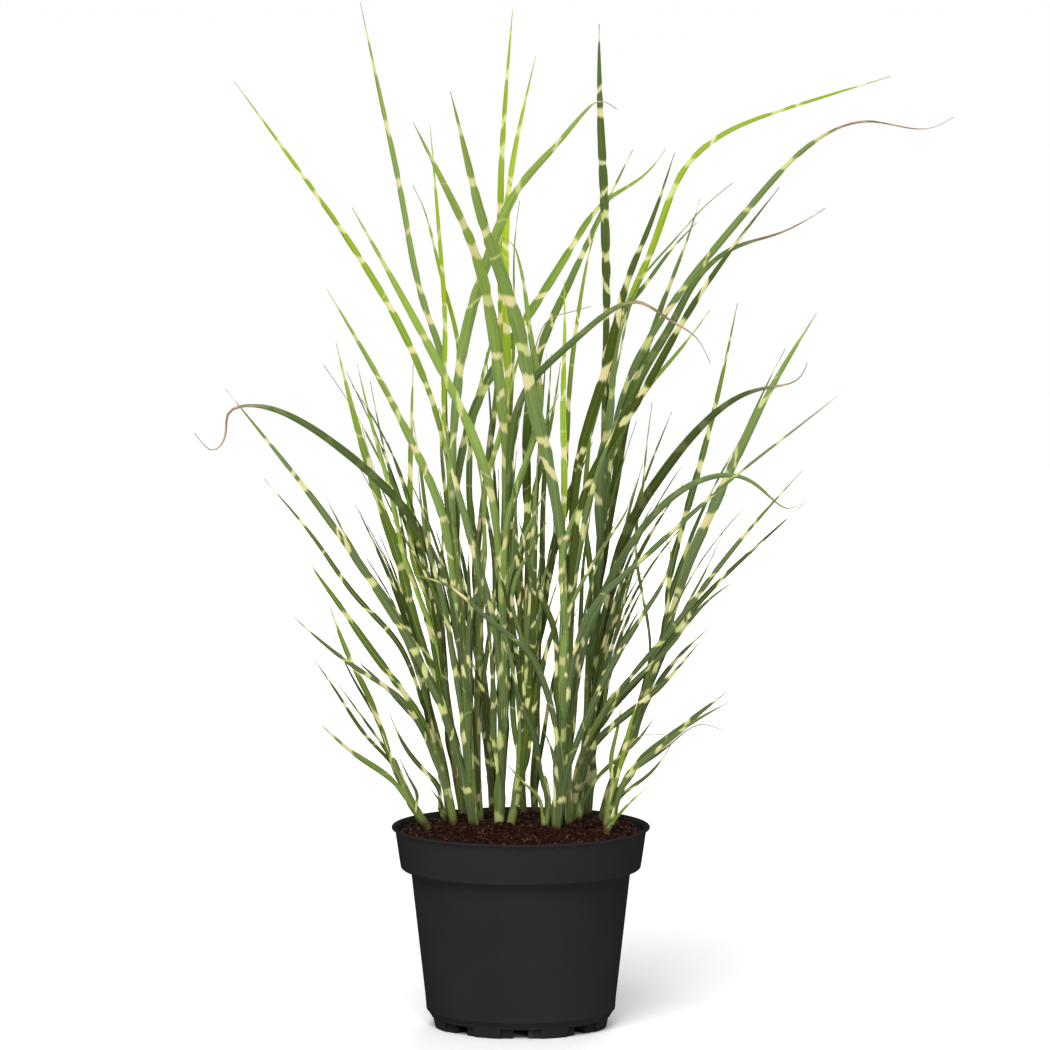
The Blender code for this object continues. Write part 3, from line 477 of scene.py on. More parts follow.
def soilHeight(radius):
    return ground["rim"] + (ground["crown"] - ground["rim"]) * max(0.0, 1 - (radius / ground["reach"]) ** 2)


def evenly(line, count):
    along = np.concatenate([[0.0], np.cumsum(np.linalg.norm(np.diff(line, axis=0), axis=1))])
    even = np.linspace(0, along[-1], count)
    return np.column_stack([np.interp(even, along, line[:, axis]) for axis in range(3)])


def smoothRoute(points, count):
    # a natural cubic spline through the points, read off at even distances
    through = np.array(points, float)
    chords = np.linalg.norm(np.diff(through, axis=0), axis=1)
    knots = np.concatenate([[0.0], np.cumsum(chords)])
    size = len(through)
    system, right = np.eye(size), np.zeros_like(through)
    for index in range(1, size - 1):
        before, after = chords[index - 1], chords[index]
        system[index, index - 1 : index + 2] = before, 2 * (before + after), after
        rise = (through[index + 1] - through[index]) / after - (through[index] - through[index - 1]) / before
        right[index] = 6 * rise
    curve = np.linalg.solve(system, right)
    places = np.linspace(0, knots[-1], 40 * size)
    span = np.clip(np.searchsorted(knots, places) - 1, 0, size - 2)
    width = chords[span][:, None]
    ahead = (places - knots[span])[:, None]
    behind = (knots[span + 1] - places)[:, None]
    fine = through[span] * behind / width + through[span + 1] * ahead / width
    fine += curve[span] * (behind**3 / width - width * behind) / 6
    fine += curve[span + 1] * (ahead**3 / width - width * ahead) / 6
    return evenly(fine, count)


def stemLine(name):
    route = np.array(stemRoutes[name][3], float) * cm
    route[0, 2] = soilHeight(math.hypot(*route[0, :2])) + ground["gap"]
    return smoothRoute(route, 80)


stemLines = {name: stemLine(name) for name in stemRoutes}
random.seed(41)


def indexAt(line, height):
    # the step of a stem's line at a height in centimetres, or its last step for "top"
    return len(line) - 1 if height == "top" else int(np.argmin(abs(line[:, 2] - height * cm)))


def stemRadius(name, share):
    footWidth, topWidth = stemRoutes[name][:2]
    return (footWidth + (topWidth - footWidth) * share) * mm / 2


def makeGuide(name, points, radii=None):
    curve = bpy.data.curves.new(name, "CURVE")
    curve.dimensions = "3D"
    spline = curve.splines.new("POLY")
    spline.points.add(len(points) - 1)
    for index, (spot, place) in enumerate(zip(spline.points, points)):
        spot.co = (*place, 1.0)
        spot.radius = 1.0 if radii is None else radii[index]
    return linked(name, curve)


# ---- geometry trees


def newTree(name, sockets):
    tree = bpy.data.node_groups.new(name, "GeometryNodeTree")
    tree.is_modifier = True
    tree.interface.new_socket("Geometry", in_out="INPUT", socket_type="NodeSocketGeometry")
    for label, kind in sockets.items():
        tree.interface.new_socket(label, in_out="INPUT", socket_type="NodeSocket" + kind)
    tree.interface.new_socket("Geometry", in_out="OUTPUT", socket_type="NodeSocketGeometry")
    start = tree.nodes.new("NodeGroupInput")
    return tree, {socket.name: Field(socket) for socket in start.outputs if socket.name}


def geometryNode(kind, geometry, given=None, **settings):
    # one step of a geometry tree, from geometry to geometry
    node = addNode(treeOf(geometry), kind, {"Geometry": geometry, **(given or {})}, **settings)
    return Field(node.outputs["Geometry"])


def endTree(geometry, material):
    geometry = geometryNode("GeometryNodeSetShadeSmooth", geometry)
    geometry = geometryNode("GeometryNodeRealizeInstances", geometry)
    geometry = geometryNode("GeometryNodeSetMaterial", geometry, {"Material": material})
    addNode(treeOf(geometry), "NodeGroupOutput", {"Geometry": geometry})


def storeValues(geometry, **values):
    for name, value in values.items():
        geometry = geometryNode("GeometryNodeStoreNamedAttribute", geometry, {"Name": name, "Value": value},
                                data_type="FLOAT", domain="POINT")
    return geometry


def moveTo(geometry, place):
    return geometryNode("GeometryNodeSetPosition", geometry, {"Position": place})


def readPosition(tree):
    return Field(tree.nodes.new("GeometryNodeInputPosition").outputs[0])


def addTube(tree, sides, rings):
    # an upright tube of radius 1 and length 1, with the fields that say where a point of it is
    given = {"Vertices": sides, "Side Segments": rings, "Radius": 1.0, "Depth": 1.0}
    tube = addNode(tree, "GeometryNodeMeshCylinder", given, fill_type="NGON")
    across, side, height = axesOf(readPosition(tree))
    return Field(tube.outputs["Mesh"]), across, side, height


def sampleGuide(guide, share, value=None):
    given = {"Curves": guide, "Factor": share, "Value": value}
    node = addNode(treeOf(guide), "GeometryNodeSampleCurve", given, mode="FACTOR")
    return [Field(node.outputs[label]) for label in ("Position", "Tangent", "Value")]


def guideLength(guide):
    return Field(addNode(treeOf(guide), "GeometryNodeCurveLength", {"Curve": guide}).outputs["Length"])


def mixed(factor, first, second):
    # first where the factor is 0, second where it is 1
    return first * (1.0 - factor) + second * factor


def flatTo(direction, tangent):
    # the part of a direction that lies square to the tangent
    reach = vec("DOT_PRODUCT", direction, tangent)
    return vec("SUBTRACT", direction, vec("SCALE", tangent, scale=reach))


# ---- the pale bands: one rule for their colour and for the width of the blade

leafPaint = {
    "green": (0.092, 0.150, 0.034),
    "bright": (0.235, 0.345, 0.012),
    "olive": (0.040, 0.062, 0.001),
    # the colour of the painted shade in the heart of the clump
    "shaded": (0.040, 0.056, 0.006),
    "band": (0.600, 0.530, 0.260),
    "under": (0.165, 0.225, 0.115),
    "tan": (0.400, 0.300, 0.150),
    "dried": (0.150, 0.100, 0.070),
    "greenBand": (0.46, 0.50, 0.17),
    "rib": (0.24, 0.32, 0.12),
    "fleck": (0.42, 0.36, 0.15),
    "edge": (0.27, 0.30, 0.14),
    "bandPeriod": 0.029,
    "bandExtent": (0.05, 0.17),  # thinnest and widest half of a band, in steps
    "bandRagged": 0.13,
    "faded": 0.10,  # strength of the bands left on old blades
    "paintedSunlitAt": (0.36, 0.60),  # heights between which the blades turn brighter, as painted light on the upper blades
    "paintedShadeBelow": (0.50, 0.24),  # heights between which the heart of the clump turns darker, as painted shade
    "ownShade": (0.60, 0.75),  # darkest blade, and how much lighter the lightest is
    "streaks": (0.80, 1.18),
    "roughness": 0.42,
}


bandRule = {
    "veins": (11.0, 60.0),  # how fine the ragged edge is, across and along
    "pace": (0.65, 0.55),  # slowest pace, and how much faster the quickest is
    "outOfStep": 0.16,
    "lean": 0.5,
    "bow": 0.6,
    "randomness": 0.8,
    "missing": (0.10, 0.22),  # chance of a band that is left out
    "edge": (0.040, 0.050),
}


def bandMask(along, across, seed, period, thin, wide, ragged):
    # pale cross bands at uneven steps, each blade with its own pace, and with edges that follow the veins
    tree = treeOf(along)
    across = along * 0.0 if across is None else across
    veins = noiseAt(joined(across * bandRule["veins"][0], along * bandRule["veins"][1], seed), 1.0, 2.0)
    slowest, spread = bandRule["pace"]
    pace = calc("FRACT", seed * 3.17) * spread + slowest
    cell = along / period * pace + seed * 13.7
    # the two halves of a blade are a little out of step
    halves = calc("SIGN", across) * (noiseAt(cell * 0.9, 1.0, 0.0, "1D") - 0.5)
    cell = cell + (veins - 0.5) * ragged
    cell = cell + halves * bandRule["outOfStep"]
    lean = noiseAt(cell * 0.7 + 5.0, 1.0, 0.0, "1D") - 0.5
    cell = cell + across * lean * bandRule["lean"]
    given = {"W": cell, "Scale": 1.0, "Randomness": bandRule["randomness"]}
    dots = addNode(tree, "ShaderNodeTexVoronoi", given, voronoi_dimensions="1D")
    splitter = "FunctionNodeSeparateColor" if tree.type == "GEOMETRY" else "ShaderNodeSeparateColor"
    chances = addNode(tree, splitter, {0: Field(dots.outputs["Color"])}).outputs
    size, kept, bow = (Field(chances[index]) for index in range(3))
    extent = size * (wide - thin) + thin
    extent = extent * smooth(kept, *bandRule["missing"])
    extent = extent * (across * across * (bow - 0.6) * bandRule["bow"] + 1.0)
    inward, outward = bandRule["edge"]
    return smooth(Field(dots.outputs["Distance"]), extent - inward, extent + outward, 1.0, 0.0)


bladeShape = {
    "sides": 16,
    "ringEvery": 0.0055,
    "thickness": 0.00062,
    "keel": 0.00045,  # how far the midrib stands out below
    "fold": 0.45,  # rise of the edges as a share of the half width
    "wave": 0.4,  # how far the edges wander, as a share of the half width
    "sheathLength": 0.040,
    "sheathWrap": 1.4,  # half of the sheath's girth, in stem radii
    "sheathFoot": 0.70,  # how far the sheath's lower end draws in, under the stem's skin
    "spread": 0.84,  # how much of the blade's full width its curl leaves
    "pinch": 0.16,  # how much a blade narrows at a pale band
    "sheathGap": 0.00036,
    "hug": 0.84,  # the sheath's radius as a share of the stem's solid
    "standOff": 0.0010,  # where a blade leaves its stem
    "lowSheath": 0.022,  # a sheath that starts nearer the soil than this goes down to it
    "layerStep": 0.55,  # how much further out each next sheath lies, in gaps
    "turnSpread": 0.9,
    "twistSpread": 1.6,
    "widestAt": 0.3,  # as a share of the blade's length
    "atSheath": 0.55,  # width where the sheath ends, as a share of the full width
    "taper": (2.1, 0.9),
    "leastHalf": 0.00028,
    "dryShrink": 0.3,
    "bandWidths": (0.10, 0.24),
    "sway": (9.0, 1.1),  # how often and how far a blade turns on its way
}


def buildBladeTree():
    tree, given = newTree("bladeAlongGuide", {
        "Width": "Float", "Turn": "Float", "Twist": "Float", "Facing": "Vector", "Stem Side": "Vector",
        "Sheath Share": "Float", "Sheath Radius": "Float", "Dry From": "Float", "Tone": "Float",
        "Seed": "Float", "Bands": "Float", "Rings": "Int", "Material": "Material"})
    tube, across, side, height = addTube(tree, bladeShape["sides"], given["Rings"])
    share = calc("ADD", height, 0.5, clamp=True)
    place, tangent, _ = sampleGuide(given["Geometry"], share)
    sheath = given["Sheath Share"]
    blade = calc("DIVIDE", share - sheath, 1.0 - sheath, clamp=True)
    wrap = smooth(share, sheath * 0.5, sheath + 0.07, 1.0, 0.0)
    dry = smooth(blade, given["Dry From"], given["Dry From"] + 0.1)

    # width: narrow at the sheath, widest at a third, a long taper to the tip
    widestAt, atSheath = bladeShape["widestAt"], bladeShape["atSheath"]
    rise = calc("SINE", calc("MINIMUM", blade / widestAt, 1.0) * (math.pi / 2))
    rise = rise * (1 - atSheath) + atSheath
    late = calc("DIVIDE", blade - widestAt, 1 - widestAt, clamp=True) ** bladeShape["taper"][0]
    taper = calc("SUBTRACT", 1.0, late, clamp=True) ** bladeShape["taper"][1]
    half = rise * taper * (given["Width"] * 0.5)
    along = share * guideLength(given["Geometry"])
    pinch = bandMask(along, None, given["Seed"], leafPaint["bandPeriod"], *bladeShape["bandWidths"], 0.0)
    pinch = pinch * given["Bands"]
    half = half * (pinch * -bladeShape["pinch"] + bladeShape["spread"])
    half = half * (dry * -bladeShape["dryShrink"] + 1.0)
    half = calc("MAXIMUM", half, bladeShape["leastHalf"])
    foot = calc("DIVIDE", share, sheath, clamp=True)
    sheathRadius = given["Sheath Radius"] * mixed(foot, bladeShape["sheathFoot"], 1.0)
    girth = sheathRadius * bladeShape["sheathWrap"]
    half = mixed(wrap, half, girth)

    # section: a slice of tube round the stem that opens into a shallow V with a keel
    reach = across * half
    bend = calc("MAXIMUM", wrap / sheathRadius, 2.0)
    angle = reach * bend
    sectionAcross = calc("SINE", angle) / bend
    lift = (1.0 - calc("COSINE", angle)) / bend
    free = 1.0 - wrap
    lift = lift + calc("ABSOLUTE", reach) * ((dry * 0.9 + bladeShape["fold"]) * free)
    away = calc("ABSOLUTE", across)
    wander = noiseAt(joined(along * 38.0, across * 0.6, given["Seed"]), 1.0, 1.0)
    wander = (wander - 0.5) * (half * bladeShape["wave"])
    lift = lift + wander * (away * free)
    thick = calc("MINIMUM", bladeShape["thickness"], half * 1.1)
    lift = lift + side * (thick * 0.5)
    ridge = calc("SUBTRACT", 1.0, away / 0.3, clamp=True)
    keel = ridge * calc("LESS_THAN", side, 0.0) * free
    lift = lift - keel * calc("MINIMUM", bladeShape["keel"], half * 0.14)

    # which way the upper side looks
    face = flatTo((0.0, 0.0, 1.0), tangent)
    front = flatTo(given["Facing"], tangent)
    face = vec("NORMALIZE", pushed(front, face, 0.5))
    often, far = bladeShape["sway"]
    swing = (noiseAt(joined(along * often, given["Seed"], 0.0), 1.0, 1.0) - 0.5) * far + given["Turn"]
    swing = swing + given["Twist"] * (blade - 0.4)
    about = {"Vector": face, "Axis": tangent, "Angle": swing}
    turned = Field(addNode(tree, "ShaderNodeVectorRotate", about, rotation_type="AXIS_ANGLE").outputs[0])
    inward = flatTo(vec("SCALE", given["Stem Side"], scale=-1.0), tangent)
    face = pushed(vec("SCALE", turned, scale=1.0 - wrap), inward, wrap * 1.02)
    face = vec("NORMALIZE", flatTo(vec("NORMALIZE", face), tangent))
    right = vec("CROSS_PRODUCT", face, tangent)
    place = pushed(pushed(place, right, sectionAcross), face, lift)

    tube = storeValues(tube, bladeShare=blade, bladeAlong=along, bladeAcross=across, bladeSide=side,
                       bladeSheath=wrap, bladeDry=dry, bladeTone=given["Tone"], bladeSeed=given["Seed"],
                       bladeBands=given["Bands"])
    endTree(moveTo(tube, place), given["Material"])
    return tree


def buildStemTree():
    tree, given = newTree("stemAlongGuide", {
        "Sides": "Int", "Rings": "Int", "Tone": "Float", "Seed": "Float", "Material": "Material"})
    tube, across, side, height = addTube(tree, given["Sides"], given["Rings"])
    share = calc("ADD", height, 0.5, clamp=True)
    radius = Field(tree.nodes.new("GeometryNodeInputRadius").outputs[0])
    place, tangent, width = sampleGuide(given["Geometry"], share, radius)
    deep = vec("NORMALIZE", flatTo((0.0, -1.0, 0.0), tangent))
    right = vec("CROSS_PRODUCT", deep, tangent)
    along = share * guideLength(given["Geometry"])
    around = calc("ARCTAN2", side, across)
    # the open edge of the outer sheath runs up the stem as a low step
    spiral = around + (along + given["Seed"]) * 22.0
    step = calc("FRACT", spiral / (2 * math.pi))
    width = width * (step * 0.07 + 0.95)
    place = pushed(place, pushed(vec("SCALE", right, scale=across), deep, side), width)
    tube = storeValues(tube, stemAlong=along, stemAround=around, stemEdge=step, stemTone=given["Tone"],
                       stemSeed=given["Seed"])
    endTree(moveTo(tube, place), given["Material"])
    return tree


def attachTree(item, tree, values):
    modifier = item.modifiers.new(tree.name, "NODES")
    modifier.node_group = tree
    for socket in tree.interface.items_tree:
        if socket.in_out == "INPUT" and socket.name in values:
            modifier[socket.identifier] = values[socket.name]


def meshFrom(item, name):
    # the evaluated result as a plain object at the origin
    graph = bpy.context.evaluated_depsgraph_get()
    evaluated = item.evaluated_get(graph)
    mesh = bpy.data.meshes.new_from_object(evaluated, preserve_all_data_layers=True, depsgraph=graph)
    mesh.name = name
    return linked(name, mesh)


def fromForm(form, name):
    mesh = bpy.data.meshes.new(name)
    form.to_mesh(mesh)
    form.free()
    return linked(name, mesh)


def dropItem(item):
    data = item.data
    bpy.data.objects.remove(item, do_unlink=True)
    if data.users == 0:
        (bpy.data.curves if isinstance(data, bpy.types.Curve) else bpy.data.meshes).remove(data)


def joinPieces(pieces, name):
    first = pieces[0]
    with bpy.context.temp_override(active_object=first, object=first, selected_objects=pieces,
                                   selected_editable_objects=pieces):
        bpy.ops.object.join()
    pieces[0].name = pieces[0].data.name = name
    return pieces[0]


# ---- leaf and stem finishes

peatStain = {"colour": (0.040, 0.016, 0.008), "above": 0.1530, "below": 0.1475, "strength": 0.85}


def stainedFoot(place, colour):
    # peat clings to whatever stands just above the soil
    level = noiseAt(place, 300.0) * -0.006 + axesOf(place)[2]
    stain = smooth(level, peatStain["above"], peatStain["below"], 0.0, peatStain["strength"])
    return blend(stain, colour, peatStain["colour"])


def makeLeafMaterial():
    material, tree, shader = newMaterial("bandedBlade", leafPaint["roughness"], 0.07)
    along, across, side = readAttributes(tree, "bladeAlong", "bladeAcross", "bladeSide")
    share, dry, tone, seed = readAttributes(tree, "bladeShare", "bladeDry", "bladeTone", "bladeSeed")
    sheath, bands = readAttributes(tree, "bladeSheath", "bladeBands")
    place = readPlace(tree)
    height = axesOf(place)[2]
    # from olive to bright, by the blade's own tone, and brighter up the clump as painted light
    mood = tone + share ** 3.0 * 0.35
    mood = mood + (noiseAt(place, 18.0) - 0.5) * 0.5
    # painted light: blades higher up are pushed towards the bright green as if sunlit
    mood = mood + smooth(height, *leafPaint["paintedSunlitAt"], -0.08, 0.42)
    colour = blend(calc("MULTIPLY", mood, 1.0, clamp=True), leafPaint["green"], leafPaint["bright"])
    colour = blend(calc("MULTIPLY", mood, -1.0, clamp=True), colour, leafPaint["olive"])
    # painted shade: low in the heart of the clump the colour is pulled towards the shaded green
    heart = smooth(height, *leafPaint["paintedShadeBelow"], 0.0, 0.85) * smooth(tone, 0.7, 0.1)
    colour = blend(heart, colour, leafPaint["shaded"])
    darkest, lighter = leafPaint["ownShade"]
    colour = shaded(colour, calc("FRACT", seed * 7.13) * lighter + darkest)
    # the grey bloom of the underside
    below = smooth(side, -0.05, -0.3)
    bloom = below * smooth(tone, -0.6, 0.1, 0.04, 0.34)
    # less bloom low in the clump, so that it stays darker there as painted shade
    bloom = bloom * smooth(height, 0.2, 0.4, 0.65, 1.0)
    colour = blend(bloom, colour, leafPaint["under"])
    # veins and the pale midrib
    streaks = noiseAt(joined(across * 9.0, along * 30.0, seed), 1.0, 3.0)
    colour = shaded(colour, smooth(streaks, 0.3, 0.7, *leafPaint["streaks"]))
    rib = smooth(calc("ABSOLUTE", across), 0.16, 0.05)
    rib = rib * (below * -0.2 + 0.42) * smooth(tone, -0.8, 0.0, 0.25, 1.0)
    colour = blend(rib, colour, leafPaint["rib"])
    # bands, small flecks, the dried end and the thin edge
    extent, ragged = leafPaint["bandExtent"], leafPaint["bandRagged"]
    band = bandMask(along, across, seed, leafPaint["bandPeriod"], *extent, ragged)
    band = band * smooth(sheath, 0.9, 0.4, 0.5, 0.92) * bands
    cloud = smooth(noiseAt(place, 25.0), 0.35, 0.65)
    colour = blend(band, colour, blend(cloud, leafPaint["band"], leafPaint["greenBand"]))
    fleck = noiseAt(joined(across * 6.0, along * 260.0, seed), 1.0, 1.0)
    colour = blend(smooth(fleck, 0.7, 0.78) * 0.35, colour, leafPaint["fleck"])
    patches = noiseAt(joined(along * 60.0, across, seed), 1.0)
    tipTint = blend(smooth(patches, 0.35, 0.65), leafPaint["tan"], leafPaint["dried"])
    colour = blend(dry, colour, tipTint)
    edge = smooth(calc("ABSOLUTE", across), 0.88, 0.97)
    colour = blend(edge * 0.25, colour, leafPaint["edge"])
    put(shader.inputs["Base Color"], stainedFoot(place, colour))
    put(shader.inputs["Roughness"], mixed(dry, smooth(streaks, 0.3, 0.7, 0.38, 0.5), 0.75))
    addBump(shader, calc("SINE", across * 58.0) * 0.35 + streaks, 0.25, 0.00007)
    return material


stemPaint = {"green": (0.064, 0.092, 0.016), "pale": (0.140, 0.185, 0.042), "spot": (0.450, 0.420, 0.190),
             "foot": (0.250, 0.290, 0.110), "dark": (0.036, 0.056, 0.010), "seam": (0.26, 0.28, 0.12),
             "strips": 5, "bandPeriod": 0.033, "bandExtent": (0.03, 0.15), "bandRagged": 0.10,
             "ringPeriod": 0.042, "ringExtent": (0.010, 0.035), "ringRagged": 0.02}


def makeStemMaterial():
    material, tree, shader = newMaterial("bandedSheath", 0.45, 0.1)
    along, around, edge = readAttributes(tree, "stemAlong", "stemAround", "stemEdge")
    tone, seed = readAttributes(tree, "stemTone", "stemSeed")
    cosine, sine = calc("COSINE", around), calc("SINE", around)
    patch = noiseAt(joined(cosine, sine, along * 22.0 + seed), 1.0, 2.0)
    pale = smooth(tone * 0.5 + patch, 0.35, 0.95)
    dark = smooth(tone * -0.3 + patch, 0.62, 0.75, 0.0, 0.55)
    colour = blend(dark, blend(pale, stemPaint["green"], stemPaint["pale"]), stemPaint["dark"])
    ribs = noiseAt(joined(cosine * 5.0, sine * 5.0, along * 14.0), 1.0, 3.0)
    colour = shaded(colour, smooth(ribs, 0.3, 0.7, 0.78, 1.2))
    # pale spots lie in upright strips, of which only some have any
    strip = calc("FLOOR", around * (stemPaint["strips"] / (2 * math.pi)) + seed) * 7.31 + seed
    spotExtent, spotRagged = stemPaint["bandExtent"], stemPaint["bandRagged"]
    spot = bandMask(along, None, strip, stemPaint["bandPeriod"], *spotExtent, spotRagged)
    spot = spot * smooth(calc("FRACT", strip * 0.37), 0.44, 0.46)
    colour = blend(spot * 0.85, colour, stemPaint["spot"])
    ringExtent, ringRagged = stemPaint["ringExtent"], stemPaint["ringRagged"]
    rings = bandMask(along, None, seed + 3.7, stemPaint["ringPeriod"], *ringExtent, ringRagged)
    colour = blend(rings * 0.4, colour, stemPaint["spot"])
    colour = blend(smooth(edge, 0.9, 0.99, 0.0, 0.4), colour, stemPaint["seam"])
    colour = blend(smooth(along, 0.016, 0.006) * 0.45, colour, stemPaint["foot"])
    put(shader.inputs["Base Color"], stainedFoot(readPlace(tree), colour))
    put(shader.inputs["Roughness"], smooth(ribs, 0.3, 0.7, 0.38, 0.55))
    addBump(shader, ribs, 0.4, 0.0002)
    return material


# ---- stems

stemShape = {
    "steps": 120,
    "closing": 5,  # steps in which the upper end rounds off
    "sides": 16,
    "ringEvery": 0.0024,
    "firstJoint": (0.012, 0.02),  # least distance, and how much more it can be
    "jointEvery": (0.030, 0.030),
    "endClear": 0.008,
    "swelling": (0.05, 0.0016),  # how much a joint stands out, and how far
    "drawn": (0.04, 0.012),  # how much the sheath draws in above it, and how far
    "girth": 0.80,
    "uneven": (0.04, 60),
}


def stemRadii(name, count):
    # the sheaths swell at each joint and draw in above it
    line = stemLines[name]
    length = np.linalg.norm(np.diff(line, axis=0), axis=1).sum()
    seed = random.random() * 10
    joints = []
    least, more = stemShape["firstJoint"]
    reach = least + random.random() * more
    least, more = stemShape["jointEvery"]
    while reach < length - stemShape["endClear"]:
        joints.append(reach / length)
        reach += least + random.random() * more
    (swelling, swellReach), (drawn, drawReach) = stemShape["swelling"], stemShape["drawn"]
    radii = []
    for index in range(count):
        share = index / (count - 1)
        radius = stemRadius(name, share)
        away = share * length
        for joint in joints:
            past = (share - joint) * length
            narrower = drawn * math.exp(-past / drawReach) if past > 0 else 0
            radius *= 1 + swelling * math.exp(-((past / swellReach) ** 2)) - narrower
        uneven, often = stemShape["uneven"]
        radius *= stemShape["girth"] + uneven * noise.noise((away * often, seed, 0))
        radii.append(radius)
    return radii


def prepareStem(name, tree, material):
    fine = evenly(stemLines[name], stemShape["steps"])
    radii = stemRadii(name, stemShape["steps"])
    below = fine[0] - np.array([0.0, 0.0, ground["sink"]])
    fine = np.vstack([below, fine])
    radii = [radii[0]] + radii
    closing = stemShape["closing"]
    for index in range(closing):
        radii[-1 - index] *= math.sqrt(1 - ((closing - index) / (closing + 0.6)) ** 2)
    guide = makeGuide("guide_stem_" + name, fine, radii)
    length = np.linalg.norm(np.diff(fine, axis=0), axis=1).sum()
    attachTree(guide, tree, {
        "Sides": stemShape["sides"], "Rings": max(12, round(length / stemShape["ringEvery"])),
        "Tone": stemRoutes[name][2], "Seed": random.random() * 20, "Material": material})
    return guide


# ---- blades


def sheathLayer(name, height):
    # a sheath that starts higher lies inside the ones below it
    return sum(1 for row in bladeRoutes.values() if row[0] == name and row[1] != "top" and row[1] > height)


def prepareBlade(label, stem, height, side, width, tone, dryFrom, route, tree, material, turn=0.0):
    line = stemLines[stem]
    top = height == "top"
    index = indexAt(line, height)
    path = [np.array(point, float) * cm for point in route]
    ahead = path[min(1, len(path) - 1)] - line[index]
    if top or side is None:
        side = math.degrees(math.atan2(ahead[1], ahead[0]))
    outward = np.array([math.cos(math.radians(side)), math.sin(math.radians(side)), 0.0])
    layer = 0 if top else sheathLayer(stem, height)
    gapOut = bladeShape["sheathGap"] * (1 + bladeShape["layerStep"] * layer)
    radius = stemRadius(stem, index / (len(line) - 1)) * bladeShape["hug"]
    # down the stem's side from where the blade leaves, to the lower end of its sheath
    lowest = index
    while lowest > 1 and np.linalg.norm(line[index] - line[lowest]) < bladeShape["sheathLength"]:
        lowest -= 1
    if line[lowest][2] < line[0][2] + bladeShape["lowSheath"]:
        lowest = 0
    sheathPoints = []
    for spot in np.linspace(lowest, index, 5):
        low, part = int(spot), spot - int(spot)
        centre = line[low] + (line[min(low + 1, len(line) - 1)] - line[low]) * part
        upTo = (spot - lowest) / max(1, index - lowest)
        drawn = bladeShape["sheathFoot"] + (1 - bladeShape["sheathFoot"]) * upTo
        around = stemRadius(stem, spot / (len(line) - 1)) * bladeShape["hug"] + gapOut
        sheathPoints.append(centre + outward * around * drawn)
    start = line[index] + outward * (radius + bladeShape["standOff"])
    sheathSpan = np.linalg.norm(np.diff(np.array(sheathPoints), axis=0), axis=1).sum()
    whole = sheathPoints[:-1] + [sheathPoints[-1] if top else start] + path
    length = np.linalg.norm(np.diff(np.array(whole), axis=0), axis=1).sum()
    fine = smoothRoute(whole, max(24, round(length / 0.004)))
    middle = fine[len(fine) // 2 + 1] - fine[len(fine) // 2 - 1]
    middle /= np.linalg.norm(middle)
    up = np.array([0, 0, 1.0]) - middle * middle[2]
    front = np.array([0, -1.0, 0]) + middle * middle[1]
    facing = -1.0 if up @ front >= -0.03 else 1.0
    draw = random.random
    guide = makeGuide("guide_" + label, fine)
    attachTree(guide, tree, {
        "Width": width * mm, "Turn": turn + (draw() - 0.5) * bladeShape["turnSpread"],
        "Twist": (draw() - 0.5) * bladeShape["twistSpread"],
        "Facing": (0.0, facing, 0.0), "Stem Side": tuple(outward), "Sheath Share": float(sheathSpan / length),
        "Sheath Radius": radius + gapOut, "Dry From": dryFrom, "Tone": tone, "Seed": draw() * 40,
        "Bands": leafPaint["faded"] if label in plainBlades else 1.0,
        "Rings": max(14, round(length / bladeShape["ringEvery"])), "Material": material})
    return guide


def seenToRoute(stem, height, tipDepth, seen):
    # moves points of the front view to their depth, from the stem's to the tip's
    line = stemLines[stem]
    startDepth = line[indexAt(line, height)][1] / cm
    route = []
    for step, (x, z) in enumerate(seen):
        share = ((step + 1) / len(seen)) ** 1.2
        depth = startDepth + (tipDepth - startDepth) * share
        away = depth / eye["distance"]
        route.append((x * (1 + away), depth, z - away * (eye["height"] - z)))
    return route


fillers = {
    "heart": {"count": 40, "length": (8.0, 19.0), "spread": 0.20, "depth": (-0.22, 0.22), "turn": 0.0},
    "front": {"count": 17, "length": (12.0, 27.0), "spread": 0.07, "depth": (-0.60, -0.22), "turn": 0.9},
    "back": {"count": 17, "length": (12.0, 27.0), "spread": 0.07, "depth": (0.22, 0.60), "turn": 0.9},
    "heights": (17.0, 30.0),
    "belowTop": 1.5,  # at least this far under the end of the stem
    "fan": (0.045, 0.03),  # how much blades lean out with their place, aside and in depth
    "stepOff": 0.35,
    "shares": (0.2, 0.45, 0.72, 1.0),  # where the points of a route lie on its length
    "reach": (-13.2, 13.2),  # how far to the front and the back the tips may come
    "widths": (3.4, 6.6),
    "tones": (-0.9, 0.4),
    "seed": 5,
}


def fillerRows():
    # young blades in the heart of the clump, and others that lean to the front and to the back
    dice = random.Random(fillers["seed"])
    stems = [name for name in stemRoutes if stemLines[name][-1][2] > 0.24]
    rows = []
    for kind in ("heart", "front", "back"):
        rule = fillers[kind]
        for _ in range(rule["count"]):
            stem = dice.choice(stems)
            line = stemLines[stem]
            low, high = fillers["heights"]
            height = dice.uniform(low, min(high, line[-1][2] / cm - fillers["belowTop"]))
            start = line[indexAt(line, height)] / cm
            length = dice.uniform(*rule["length"])
            lean = start[0] * fillers["fan"][0] + dice.uniform(-rule["spread"], rule["spread"])
            depth = start[1] * fillers["fan"][1] + dice.uniform(*rule["depth"])
            front, back = (side - start[1] for side in fillers["reach"])
            depth = min(max(depth, front / (1.2 * length)), back / (1.2 * length))
            route = []
            for share in fillers["shares"]:
                reach = length * share
                bow = 0.45 + 0.75 * share
                route.append((start[0] + reach * lean * bow + math.copysign(fillers["stepOff"], lean),
                              start[1] + reach * depth * bow,
                              start[2] + reach * (1.0 - 0.35 * abs(depth) * share)))
            width, tone = dice.uniform(*fillers["widths"]), dice.uniform(*fillers["tones"])
            rows.append((stem, height, width, tone, route, rule["turn"] * dice.choice((-1, 1))))
    return rows


# ---- pot

